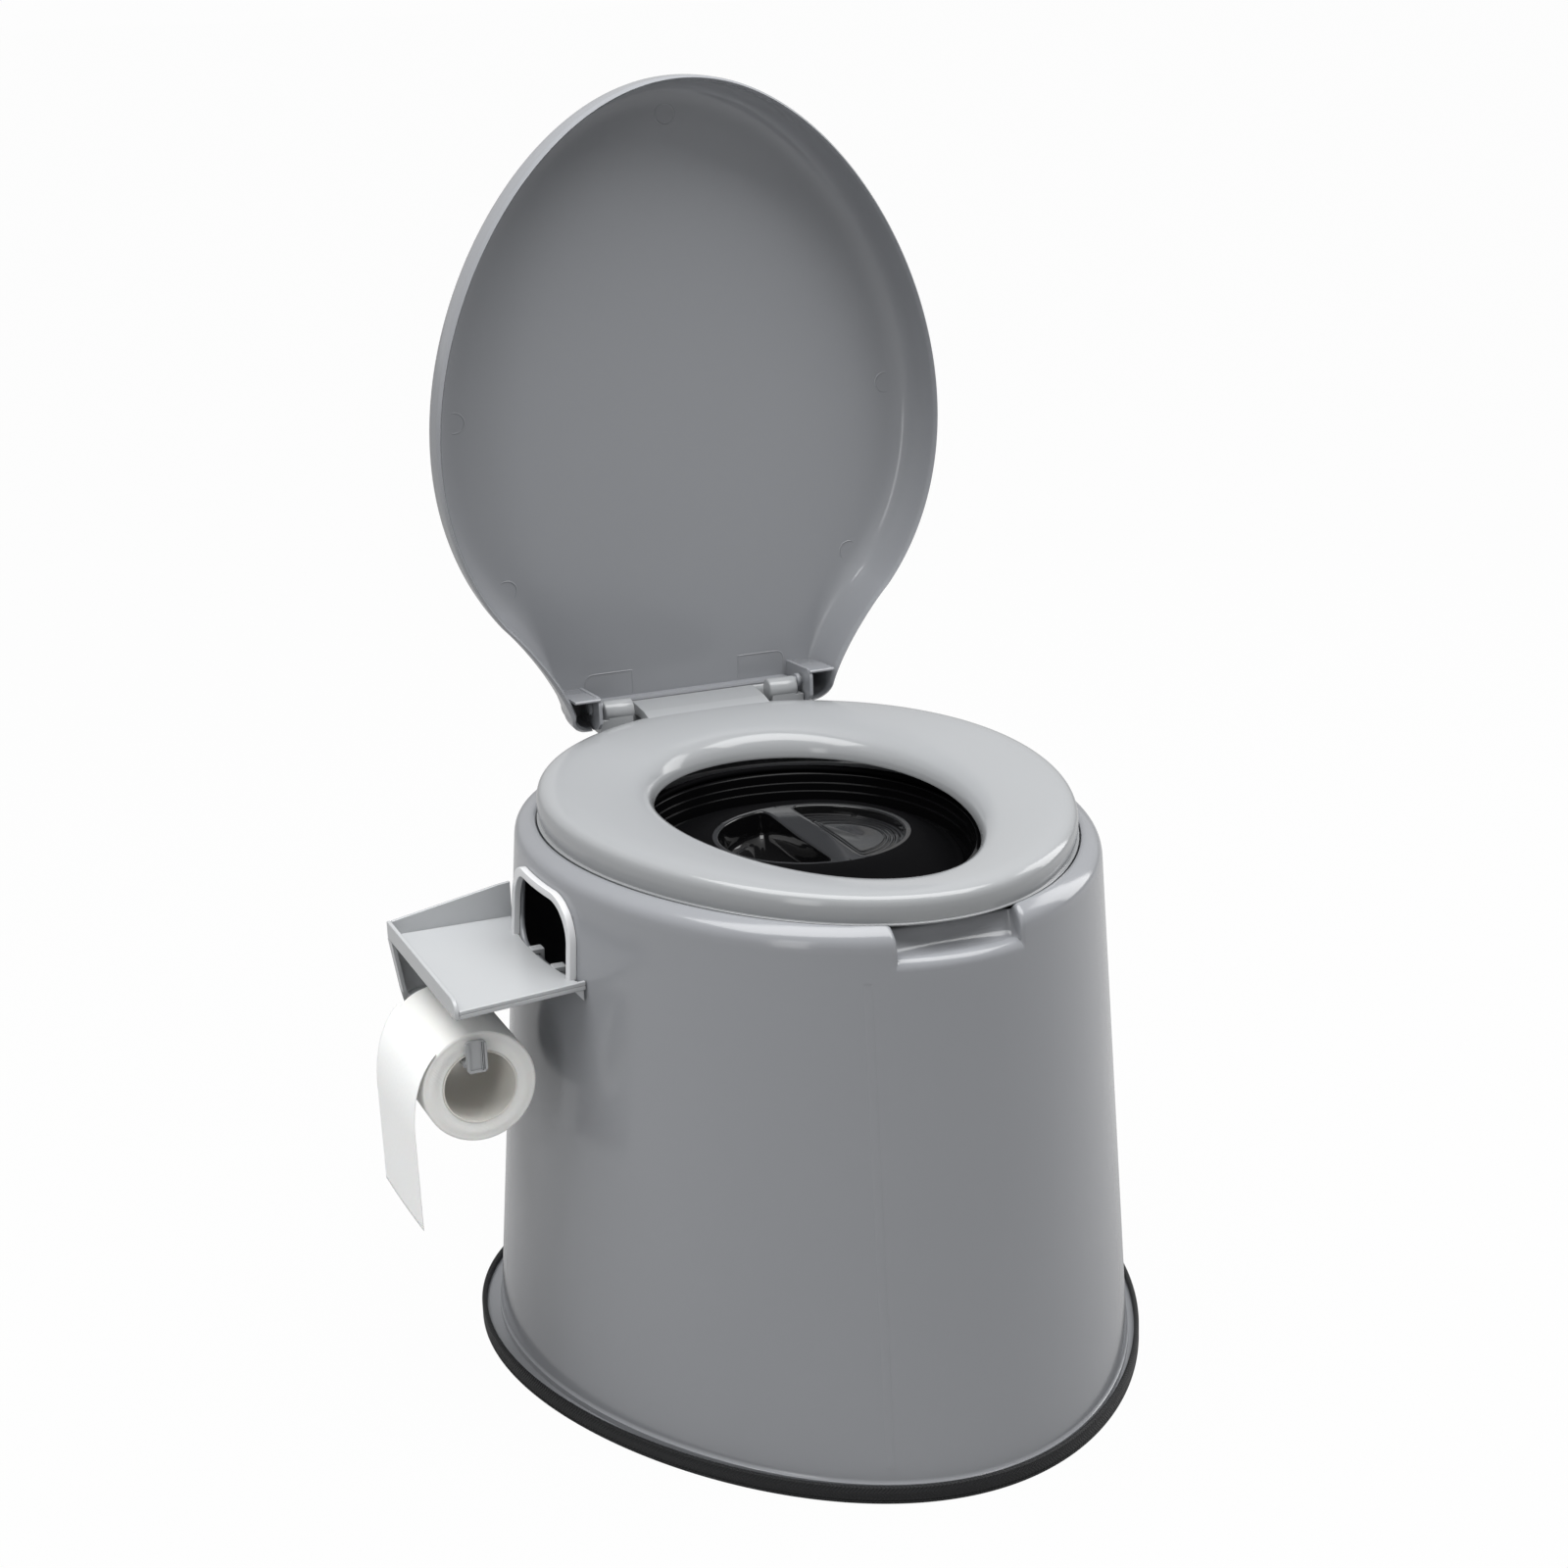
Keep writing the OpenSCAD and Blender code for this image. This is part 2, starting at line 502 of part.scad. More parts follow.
module holder_tray() color(light_grey) {
    y0 = tray_front_y + tray_slant;
    y1 = tray_back_y - holder_t;
    // floor
    translate([0, 0, tray_z - holder_t]) linear_extrude(holder_t) polygon(concat(
        [[tray_out_x + holder_t, y1], [tray_out_x + holder_t, tray_front_y]],
        [for (j = [0:tray_steps]) tray_edge(mix(y0, y1, j / tray_steps), tray_z)]));
    // back wall, taller beside the body
    back_x = tray_edge(tray_back_y, tray_z)[0];
    along_y(y1, tray_back_y) polygon([[tray_out_x + holder_t, tray_z - holder_t],
        [back_x, tray_z - holder_t], [back_x, tray_z + 22], [back_x - 8, tray_z + 21],
        [tray_out_x + holder_t, tray_rim_z]]);
    // low lip at the front
    lip_x = tray_edge(y0, tray_z)[0];
    translate([0, 0, tray_z]) linear_extrude(2.5) polygon([[tray_out_x + holder_t, tray_front_y],
        [lip_x, y0], [lip_x, y0 + holder_t], [tray_out_x + holder_t, tray_front_y + holder_t]]);
    // ribs under the inner edge
    low_z = tray_z - holder_t - gusset;
    for (y = [y0, y1 - holder_t]) along_y(y, y + holder_t) polygon([
        [tray_edge(y + holder_t, low_z)[0], low_z], [tray_edge(y + holder_t, low_z)[0], low_z + gusset],
        [tray_edge(y, tray_z)[0] - gusset, low_z + gusset]]);
}

// Long outer wall, rounded down at the front.
module holder_outer_wall() color(light_grey) {
    r = tray_rim_z - tray_z;
    along_x(tray_out_x, tray_out_x + holder_t) polygon(concat(
        [[tray_back_y, tray_z - holder_t], [tray_back_y, tray_rim_z]],
        [for (a = [90:15:180]) [tray_front_y + r + r * cos(a), tray_z + r * sin(a)]],
        [[tray_front_y, tray_z - holder_t]]));
}

roll_x = -227;
roll_front_y = -50;
core_r = 22;
core_t = 0.8;
arm_x = roll_x - 2;   // middle of the arm
arm_half_w = 7;
arm_t = 2.6;
arm_top = roll_z + core_r - core_t - 2.2;
tab_rise = 10;        // how far the end tab stands above the arm

// Arm that carries the roll: a leg behind the tray, a bar through the core and an upturned tab.
module roll_arm() color(light_grey) {
    foot = arm_top - 9;
    along_y(tray_back_y - holder_t, tray_back_y) polygon([[tray_out_x, tray_z - holder_t],
        [arm_x - arm_half_w - 4, arm_top], [arm_x - arm_half_w - 2, foot], [arm_x + arm_half_w, foot],
        [arm_x + arm_half_w, tray_z - holder_t]]);
    along_y(tray_back_y - 9, tray_back_y - holder_t) polygon([[tray_out_x, tray_z - holder_t],
        [arm_x - arm_half_w - 4, arm_top], [arm_x - arm_half_w - 1.8, arm_top],
        [tray_out_x + 2.2, tray_z - holder_t]]);
    along_y(roll_front_y - 1.5, tray_back_y - holder_t) intersection() {
        translate([roll_x, roll_z]) difference() {
            circle(r = arm_top - roll_z, $fn = 96);
            circle(r = arm_top - roll_z - arm_t, $fn = 96);
        }
        translate([arm_x - arm_half_w, arm_top - 9]) square([2 * arm_half_w, 9]);
    }
    along_y(roll_front_y - 1.5 - arm_t, roll_front_y - 1.5)
        round_rect(arm_x - arm_half_w, arm_top - 9, arm_x + arm_half_w, arm_top + tab_rise, 3);
}

module roll_core() color([0.84, 0.82, 0.78]) {
    translate([roll_x, roll_front_y, roll_z]) rotate([-90, 0, 0]) difference() {
        cylinder(r = core_r, h = roll_l, $fn = 64);
        translate([0, 0, -1]) cylinder(r = core_r - core_t, h = roll_l + 2, $fn = 64);
    }
}

module paper_roll() color(paper_white) {
    translate([roll_x, roll_front_y, roll_z]) rotate([-90, 0, 0]) difference() {
        cylinder(r = roll_r, h = roll_l, $fn = 96);
        translate([0, 0, -1]) cylinder(r = core_r, h = roll_l + 2, $fn = 64);
    }
}

// Loose end of the paper: it leaves the roll near the top and hangs down outside it.
tail_gap = 1.2;
tail_t = 0.8;
tail_foot = 134;
tail_out = -40.4;     // how far out from the roll's axis it hangs
tail_steps = 10;
function tail_point(s) = let (a = (roll_r + tail_gap) * [-sin(45), cos(45)])
    bezier(a, a + [-10, -10], [tail_out - 1, -2], [tail_out, -30], s);
tail_path = concat([for (j = [0:tail_steps]) tail_point(j / tail_steps)], [[tail_out + 0.3, tail_foot - roll_z]]);

module paper_tail() color(paper_white) {
    n = len(tail_path);
    along_y(roll_front_y, roll_front_y + roll_l) translate([roll_x, roll_z]) polygon(concat(tail_path,
        [for (j = [n - 1:-1:0]) let (d = tail_path[min(j + 1, n - 1)] - tail_path[max(j - 1, 0)])
            tail_path[j] + tail_t * [d[1], -d[0]] / norm(d)]));
}

body_shell();
base_edge_strip();
seat_ring();
seat_hinge_block();
hinge_pin_left();
hinge_pin_right();
lid_shell();
lid_ear_left();
lid_ear_right();
bucket();
bucket_lug_left();
bucket_lug_right();
bucket_lid();
bucket_bail();
holder_back_frame();
holder_hooks();
holder_tray();
holder_outer_wall();
roll_arm();
roll_core();
paper_roll();
paper_tail();
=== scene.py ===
# %% [markdown]
# # A portable bucket toilet
# The object is a tapered shell of moulded plastic with a rubber edge, a lift-off seat, a hinged lid,
# a black bucket with its own lid, and a small holder for a phone and a paper roll on one side.
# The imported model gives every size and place; this script gives the finished surfaces. Almost every
# big form on the object is an egg-shaped outline that changes a little as it rises, so one short
# formula, carried up a profile, draws the shell, the seat, the lid and the bucket.

# %% Load the frame
import bpy
import json
import numpy as np
from mathutils import Matrix, Vector


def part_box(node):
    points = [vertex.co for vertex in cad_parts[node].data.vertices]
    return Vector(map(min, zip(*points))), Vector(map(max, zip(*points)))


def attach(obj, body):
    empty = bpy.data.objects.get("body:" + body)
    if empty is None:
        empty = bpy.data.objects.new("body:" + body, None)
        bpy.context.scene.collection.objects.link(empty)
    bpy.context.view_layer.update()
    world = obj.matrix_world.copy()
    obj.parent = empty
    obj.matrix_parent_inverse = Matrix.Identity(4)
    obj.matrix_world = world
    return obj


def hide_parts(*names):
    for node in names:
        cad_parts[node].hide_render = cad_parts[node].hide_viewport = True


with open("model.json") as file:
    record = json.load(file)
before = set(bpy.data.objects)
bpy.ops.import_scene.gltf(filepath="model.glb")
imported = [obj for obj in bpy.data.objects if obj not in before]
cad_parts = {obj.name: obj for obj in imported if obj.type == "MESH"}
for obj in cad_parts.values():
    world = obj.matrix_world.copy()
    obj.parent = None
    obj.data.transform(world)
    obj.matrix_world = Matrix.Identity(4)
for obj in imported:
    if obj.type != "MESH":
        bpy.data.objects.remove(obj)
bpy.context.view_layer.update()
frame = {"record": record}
record = frame["record"]
MM = 0.001
TAU = 2 * np.pi
SIDES = ((-1, "left"), (1, "right"))

# %% [markdown]
# ## Reading sizes from the frame
# A node's box gives its length and width. The egg formula is x = w sin t (1 - k cos t) and
# y = c - a cos t, with t = 0 at the front: a is exactly half the length, and w is half the width
# divided by the widest value that the sine part reaches. An egg is kept as four numbers, [w, a, k, c].

# %% Eggs
def corners(node):
    """Lowest and highest corner of a node as two arrays, in metres."""
    low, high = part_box(node)
    return np.array(low), np.array(high)


def egg_of(node, narrowing):
    """The egg [w, a, k, c] whose outline just fills the node's box."""
    low, high = corners(node)
    t = np.linspace(0, np.pi, 2001)
    widest = (np.sin(t) * (1 - narrowing * np.cos(t))).max()
    half_width, half_length = (high[0] - low[0]) / 2, (high[1] - low[1]) / 2
    return np.array([half_width / widest, half_length, narrowing, (high[1] + low[1]) / 2])


def grown(egg, d):
    """The egg made wider and longer by d on every side; a row of distances gives a row of eggs."""
    return egg + np.multiply.outer(d, [1, 1, 0, 0])


def mix(a, b, s):
    """The value a share s of the way from a to b."""
    return a + (b - a) * s


seat_low, seat_high = corners("seat_ring")
base_narrowing, seat_narrowing = 0.16, 0.13
strip_egg = egg_of("base_edge_strip", base_narrowing)
seat_egg = egg_of("seat_ring", seat_narrowing)
print("edge strip egg:", np.round(strip_egg * 1000, 1), "seat egg:", np.round(seat_egg * 1000, 1))

# %% [markdown]
# ## From numbers to a mesh
# A surface is a grid of points: rows along the profile, columns round the object. The grid goes
# into a mesh as whole arrays with foreach_set, which is far quicker than adding points one by one.

# %% Grid to mesh
def grid_faces(rows, columns, wrap_rows, wrap_columns):
    """Four corner numbers for every cell of the grid, wound so that the faces point outwards."""
    j = np.arange(rows if wrap_rows else rows - 1)[:, None]
    i = np.arange(columns if wrap_columns else columns - 1)[None, :]
    up, on = (j + 1) % rows, (i + 1) % columns
    cells = [j * columns + i, j * columns + on, up * columns + on, up * columns + i]
    return np.stack([np.broadcast_to(c, (j.size, i.size)) for c in cells], axis=-1).reshape(-1, 4)


def fill_mesh(mesh, points, polygons):
    """Puts points (n, 3) and a list of polygon arrays, each (m, corners), into the mesh."""
    sizes = np.concatenate([np.full(len(p), p.shape[1]) for p in polygons])
    loops = np.concatenate([p.ravel() for p in polygons]).astype(np.int32)
    mesh.vertices.add(len(points))
    mesh.vertices.foreach_set("co", np.ascontiguousarray(points, dtype=np.float32).ravel())
    mesh.loops.add(len(loops))
    mesh.loops.foreach_set("vertex_index", loops)
    mesh.polygons.add(len(sizes))
    mesh.polygons.foreach_set("loop_start", np.concatenate([[0], np.cumsum(sizes)[:-1]]).astype(np.int32))
    mesh.polygons.foreach_set("use_smooth", np.ones(len(sizes), dtype=bool))
    mesh.update(calc_edges=True)
    mesh.validate()


def add_object(name, mesh):
    """A new object for the mesh, at the origin, in the scene."""
    thing = bpy.data.objects.new(name, mesh)
    bpy.context.scene.collection.objects.link(thing)
    return thing


def skin(grid, wrap_rows=False, wrap_columns=True, first_tip=None, last_tip=None, flip=False):
    """Points and polygons of a grid (rows, columns, 3), its open ends closed by fans to a tip point."""
    rows, columns = grid.shape[:2]
    points = grid.reshape(-1, 3)
    polygons = [grid_faces(rows, columns, wrap_rows, wrap_columns)]
    around = np.arange(columns)
    after = (around + 1) % columns
    if first_tip is not None:
        points = np.vstack([points, first_tip])
        polygons.append(np.stack([after, around, np.full(columns, len(points) - 1)], axis=1))
    if last_tip is not None:
        points = np.vstack([points, last_tip])
        last = (rows - 1) * columns
        polygons.append(np.stack([last + around, last + after, np.full(columns, len(points) - 1)], axis=1))
    return points, [p[:, ::-1] for p in polygons] if flip else polygons


def surface(name, grid, crease=40, **how):
    """A smooth object from a grid, with edges steeper than crease left sharp; how goes to skin."""
    mesh = bpy.data.meshes.new(name)
    fill_mesh(mesh, *skin(grid, **how))
    mesh.set_sharp_from_angle(angle=np.radians(crease))
    return add_object(name, mesh)


print("mesh helpers ready")

# %% [markdown]
# A section is drawn from a few points and then made smooth, either by a curve through the points or
# by straight lines with their corners rounded off. Few points keep the shape easy to change.

# %% Curves through points
def through(points, steps=6):
    """A smooth curve through the points: cubic pieces whose slope at a point follows its neighbours."""
    p = np.asarray(points, float)
    ends = np.vstack([2 * p[0] - p[1], p, 2 * p[-1] - p[-2]])
    gap = np.linalg.norm(np.diff(ends, axis=0), axis=1) ** 0.5 + 1e-9
    left = (ends[1:-1] - ends[:-2]) / gap[:-1, None]
    right = (ends[2:] - ends[1:-1]) / gap[1:, None]
    share = (gap[1:] / (gap[1:] + gap[:-1]))[:, None]
    slope = left * share + right * (1 - share)
    s = (np.arange(steps) / steps)[None, :, None]
    a, b = p[:-1, None], p[1:, None]
    m, n = slope[:-1, None] * gap[1:-1, None, None], slope[1:, None] * gap[1:-1, None, None]
    leave, arrive = 2 * s**3 - 3 * s**2 + 1, 3 * s**2 - 2 * s**3
    curve = leave * a + (s**3 - 2 * s**2 + s) * m + arrive * b + (s**3 - s**2) * n
    return np.vstack([curve.reshape(-1, p.shape[1]), p[-1:]])


def rounded(points, cut, steps=4, closed=False):
    """A chain of straight lines whose corners are rounded: each corner is cut back by cut and bridged."""
    p = np.asarray(points, float)
    cuts = np.broadcast_to(cut, len(p))
    inner = np.arange(len(p)) if closed else np.arange(1, len(p) - 1)
    before, after = p[inner - 1] - p[inner], p[(inner + 1) % len(p)] - p[inner]
    long_a, long_b = np.linalg.norm(before, axis=1), np.linalg.norm(after, axis=1)
    reach = np.minimum(cuts[inner], 0.49 * np.minimum(long_a, long_b))
    a = p[inner] + before * (reach / long_a)[:, None]
    b = p[inner] + after * (reach / long_b)[:, None]
    s = np.linspace(0, 1, steps + 1)[None, :, None]
    bridge = (1 - s) ** 2 * a[:, None] + 2 * s * (1 - s) * p[inner][:, None] + s**2 * b[:, None]
    bridge = bridge.reshape(-1, p.shape[1])
    return bridge if closed else np.vstack([p[:1], bridge, p[-1:]])


def arc(centre, radius, start, end, steps):
    """Points (n, 2) on a circle, from one angle in degrees to another."""
    t = np.radians(np.linspace(start, end, steps))
    return centre + radius * np.stack([np.cos(t), np.sin(t)], axis=1)


def bezier(a, b, c, d, s):
    """A cubic from a to d that sets out towards b and comes in from c, at the shares s."""
    return (1 - s) ** 3 * a + 3 * (1 - s) ** 2 * s * b + 3 * (1 - s) * s**2 * c + s**3 * d


def distance_along(curve):
    """How far along the curve each of its points is."""
    return np.concatenate([[0], np.cumsum(np.linalg.norm(np.diff(curve, axis=0), axis=1))])


def mirrored(half):
    """Half an outline (rows, columns, x first), closed by its mirror image."""
    flip = np.ones(half.shape[-1])
    flip[0] = -1
    return np.concatenate([half, half[:, -2:0:-1] * flip], axis=1)


def egg_rings(sections, t):
    """Rings of points from sections [w, a, k, c, z]: one row per section, one column per angle t."""
    w, a, k, c, z = [np.asarray(sections)[:, n, None] for n in range(5)]
    x = w * np.sin(t) * (1 - k * np.cos(t))
    y = c - a * np.cos(t)
    return np.stack([x, y, z + 0 * x], axis=-1)


print("curve helpers ready")

# %% [markdown]
# ## Plastics, rubber and paper
# A finish is built from what the real surface is. Every colour is written as the hex value that the
# eye sees in plain light and turned to linear light by one function.

# %% Material helpers
def linear(code):
    """An sRGB hex value as linear red, green and blue, with full alpha."""
    srgb = np.array([int(code[n:n + 2], 16) for n in (1, 3, 5)]) / 255
    value = np.where(srgb <= 0.04045, srgb / 12.92, ((srgb + 0.055) / 1.055) ** 2.4)
    return (*value.tolist(), 1.0)


def add(tree, kind, links=None, **settings):
    """Adds a node; settings are its properties or input values, links maps an input to an output socket."""
    made = tree.nodes.new(kind)
    for key, value in settings.items():
        if hasattr(made, key):
            setattr(made, key, value)
        else:
            made.inputs[key.replace("_", " ")].default_value = value
    for key, source in (links or {}).items():
        tree.links.new(source, made.inputs[key])
    return made


def calc(tree, operation, *values):
    """A Math node on sockets or plain numbers; returns its output socket."""
    made = add(tree, "ShaderNodeMath", operation=operation)
    for place, value in enumerate(values):
        if isinstance(value, (int, float)):
            made.inputs[place].default_value = value
        else:
            tree.links.new(value, made.inputs[place])
    return made.outputs[0]


def new_material(name, **shader):
    """A material with a Principled shader; returns the material, its tree and the shader."""
    material = bpy.data.materials.new(name)
    material.use_nodes = True
    tree = material.node_tree
    principled = tree.nodes["Principled BSDF"]
    for key, value in shader.items():
        principled.inputs[key.replace("_", " ")].default_value = value
    return material, tree, principled


def finish_with(piece, material, slot, body, *nodes):
    """Gives the piece its material and its body, and hides the nodes it stands for; slot is not used."""
    piece.data.materials.clear()
    piece.data.materials.append(material)
    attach(piece, body)
    if nodes:
        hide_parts(*nodes)
    print(f"{piece.name}: {len(piece.data.polygons)} faces on {body}")


print("material helpers ready")

# %% [markdown]
# Moulded polypropylene: a hard, slightly waxy plastic with a polished mould surface. The gloss is
# even from close by, but the large walls pull in a little as they cool, so reflections in them
# swim slowly. A broad, very shallow bump gives that, and a much finer one breaks the gloss.

# %% Moulded plastics
def moulded_plastic(name, colour, darker, roughness, spread, swim, ior=1.5):
    """Moulded plastic: the colour drifts a little towards darker and the roughness varies by spread.

    The drift is in patches about 200 mm across, and swim is the depth in metres of the slow bump in
    them. The grain is about 0.7 mm across and a few thousandths of a millimetre deep.
    """
    material, tree, shader = new_material(name, IOR=ior)
    place = add(tree, "ShaderNodeTexCoord").outputs["Object"]
    drift = add(tree, "ShaderNodeTexNoise", {"Vector": place}, Scale=5.0, Detail=2.0, Roughness=0.45)
    tint = add(tree, "ShaderNodeMix", {"Factor": drift.outputs["Fac"]}, data_type="RGBA")
    tint.inputs["A"].default_value = linear(colour)
    tint.inputs["B"].default_value = linear(darker)
    tree.links.new(tint.outputs["Result"], shader.inputs["Base Color"])
    sheen = add(tree, "ShaderNodeMapRange", {"Value": drift.outputs["Fac"]}, From_Min=0.3, From_Max=0.7)
    sheen.inputs["To Min"].default_value = roughness
    sheen.inputs["To Max"].default_value = roughness + spread
    tree.links.new(sheen.outputs["Result"], shader.inputs["Roughness"])
    fine = add(tree, "ShaderNodeTexNoise", {"Vector": place}, Scale=1400.0, Detail=2.0, Roughness=0.5)
    slow = add(tree, "ShaderNodeBump", {"Height": drift.outputs["Fac"]}, Strength=1.0, Distance=swim)
    grain = add(tree, "ShaderNodeBump", {"Height": fine.outputs["Fac"], "Normal": slow.outputs["Normal"]},
                Strength=0.5, Distance=0.000004)
    tree.links.new(grain.outputs["Normal"], shader.inputs["Normal"])
    return material


# Shell and lid: mid grey from a polished mould, so a lamp shows as a soft band with a clear edge.
shell_plastic = moulded_plastic("moulded_grey_polypropylene", "#919397", "#8d8f93", 0.13, 0.04, 0.0006)
# Seat: the same plastic, drawn a shade paler as painted top light, and smoother, so the rounded rim catches a
# thin bright line.
seat_plastic_painted_top_light = moulded_plastic("polished_grey_polypropylene", "#9b9d9f", "#989a9c", 0.12, 0.03, 0.0003)
# Hinge pins: small parts from a matt mould, whose highlights are broad and dim.
hinge_plastic = moulded_plastic("satin_grey_polypropylene", "#94969a", "#8f9195", 0.24, 0.06, 0.0002)
# Holder: a pale ABS, harder and evener than the shell's plastic. The arch is the same ABS, drawn nearly white
# as a painted reflection of the white surroundings.
holder_plastic = moulded_plastic("pale_grey_abs", "#b3b5b7", "#adafb1", 0.2, 0.05, 0.0002)
arch_plastic_painted_reflection = moulded_plastic("near_white_abs", "#d8d9da", "#d2d3d5", 0.2, 0.05, 0.0002)
# Bucket: black through and through. Deep inside the seat it sees little but dark walls, so a low
# IOR keeps the mouth black; the wells of its lid are polished and keep the plastic's full gloss. The
# lid's rim is satin with hardly any gloss, so it stays a flat black beside the wells; the grip bar between
# them shares the wells' polish.
bucket_plastic = moulded_plastic("gloss_black_polypropylene", "#0a0a0b", "#080809", 0.07, 0.03, 0.0004, 1.2)
well_black = moulded_plastic("polished_black_polypropylene", "#0c0c0d", "#0a0a0b", 0.05, 0.02, 0.0003, 1.5)
satin_black = moulded_plastic("satin_black_polypropylene", "#0c0c0d", "#09090a", 0.42, 0.06, 0.0002, 1.04)
print("plastics:", [m.name for m in bpy.data.materials if "poly" in m.name or "abs" in m.name])

# %% [markdown]
# The edge strip is extruded rubber with a woven emboss: slanting ribs about 2 mm apart that turn
# back along a middle line. The ribs follow the strip, so the pattern reads the strip's own UV map,
# whose u is the distance along the strip and v the distance across it, both in metres.

# %% Rubber with slanting ribs
def ribbed_rubber():
    """Black rubber: ribs 2.2 mm apart, where sin of (distance along + folded distance across) peaks."""
    rib, fold_width = 2.2 * MM, 3.2 * MM
    material, tree, shader = new_material("black_ribbed_rubber", IOR=1.4, Base_Color=linear("#121315"))
    uv = add(tree, "ShaderNodeUVMap", uv_map="along")
    split = add(tree, "ShaderNodeSeparateXYZ", {"Vector": uv.outputs["UV"]})
    total = calc(tree, "ADD", split.outputs["X"], calc(tree, "PINGPONG", split.outputs["Y"], fold_width))
    wave = calc(tree, "SINE", calc(tree, "MULTIPLY", total, TAU / rib))
    grain = add(tree, "ShaderNodeTexNoise", {"Vector": add(tree, "ShaderNodeTexCoord").outputs["Object"]},
                Scale=900.0, Detail=3.0)
    height = calc(tree, "ADD", wave, grain.outputs["Fac"])
    bump = add(tree, "ShaderNodeBump", {"Height": height}, Strength=0.9, Distance=0.00018)
    tree.links.new(bump.outputs["Normal"], shader.inputs["Normal"])
    rough = add(tree, "ShaderNodeMapRange", {"Value": wave}, From_Min=-1.0, To_Min=0.62, To_Max=0.42)
    tree.links.new(rough.outputs["Result"], shader.inputs["Roughness"])
    return material


rubber = ribbed_rubber()
print("rubber:", rubber.name)

# %% [markdown]
# Tissue is soft, white and fibrous: it scatters light, has almost no gloss and carries a shallow
# emboss. The roll's end shows the edges of its layers as fine rings, and its core is pale board.

# %% Tissue and board
def tissue(name, colour, ring_centre=None):
    """White tissue: fibres about 1.4 mm long and a soft emboss with dents about 3 mm across.

    Where ring_centre is given, rings 0.7 mm apart round it show the edges of the layers. Real layers
    are about 0.1 mm thick, so the rings are drawn coarser than they are, to show at all.
    """
    ring_step = 0.7 * MM
    material, tree, shader = new_material(name, Base_Color=linear(colour), IOR=1.4, Roughness=0.92,
                                          Sheen_Weight=0.15, Subsurface_Weight=0.06, Subsurface_Scale=0.003)
    place = add(tree, "ShaderNodeTexCoord").outputs["Object"]
    fibre = add(tree, "ShaderNodeTexNoise", {"Vector": place}, Scale=700.0, Detail=5.0, Roughness=0.65)
    emboss = add(tree, "ShaderNodeTexVoronoi", {"Vector": place}, Scale=330.0, feature="SMOOTH_F1")
    soft = add(tree, "ShaderNodeBump", {"Height": emboss.outputs["Distance"]},
               Strength=0.35, Distance=0.00025)
    bump = add(tree, "ShaderNodeBump", {"Height": fibre.outputs["Fac"], "Normal": soft.outputs["Normal"]},
               Strength=0.4, Distance=0.0001)
    if ring_centre is not None:
        centre = add(tree, "ShaderNodeMapping", {"Vector": place})
        centre.inputs["Location"].default_value = [-v for v in ring_centre]
        centre.inputs["Scale"].default_value = (1, 0, 1)
        radius = add(tree, "ShaderNodeVectorMath", {0: centre.outputs["Vector"]}, operation="LENGTH")
        ring = calc(tree, "SINE", calc(tree, "MULTIPLY", radius.outputs["Value"], TAU / ring_step))
        bump = add(tree, "ShaderNodeBump", {"Height": ring, "Normal": bump.outputs["Normal"]},
                   Strength=0.5, Distance=0.00008)
    tree.links.new(bump.outputs["Normal"], shader.inputs["Normal"])
    return material


joint_places = {j["name"]: j for j in record["behaviour"]["joints"]}
roll_centre = np.array(joint_places["roll_spin"]["pos_m"])
white_tissue = tissue("white_tissue", "#fbfbfa")
roll_end_tissue = tissue("white_tissue_layers", "#f8f8f5", ring_centre=roll_centre)
core_board = tissue("pale_core_board", "#e9e6e0")
print("roll centre:", roll_centre)

# %% [markdown]
# ## The base shell
# The base is one thin moulding: a flange on the floor, a wall that leans inwards as it rises, a
# rounded shoulder, a ledge that the seat stands on and a well that holds the bucket's rim. It could
# be pulled out of a cylinder by hand, but each level is an egg, so it is a loft: one row of the grid
# for each level, outside going up and inside coming down. The finger notch at the front is in the
# same grid. There every row is moved from the shoulder to the notch's own curve, and the columns
# crowd together at the notch's side, where they turn through two small arcs to form the cheek.

# %% Levels of the shell
flange_egg = grown(strip_egg, -2 * MM)
foot_egg = flange_egg + np.array([-9.5 * MM, -5.5 * MM, -0.01, -3 * MM])
head_egg = foot_egg + np.array([-24.5 * MM, -13 * MM, -0.085, 0])
foot_z, head_z = 14 * MM, 341 * MM
ledge_egg = grown(seat_egg, -1 * MM)
seat_under = seat_low[2] - 1.5 * MM
ledge_z = seat_under - 0.3 * MM
crest_z = corners("body_shell")[1][2] - 1.3 * MM
mouth_egg = egg_of("bucket_lid", seat_narrowing)
well_egg = grown(mouth_egg, 24 * MM)
hole_egg = grown(mouth_egg, 15.5 * MM)
shelf_z = seat_low[2] - 7.5 * MM
wall = 2.8 * MM


def wall_egg(z):
    """The wall's egg at height z: an even change from the foot's egg to the head's."""
    return mix(foot_egg, head_egg, (np.asarray(z)[..., None] - foot_z) / (head_z - foot_z))


def egg_angle(egg, x):
    """The angle at which half an egg is x wide: six of Newton's steps on w sin t (1 - k cos t) = x."""
    w, k = egg[..., 0:1], egg[..., 2:3]
    t = np.arcsin(np.clip(x / w / (1 - k), 0, 0.97))
    for _ in range(6):
        t = t - (np.sin(t) * (1 - k * np.cos(t)) - x / w) / (np.cos(t) - k * np.cos(2 * t))
    return t


print("wall leans in by", np.round((foot_egg - head_egg)[:2] * 1000, 1), "mm")
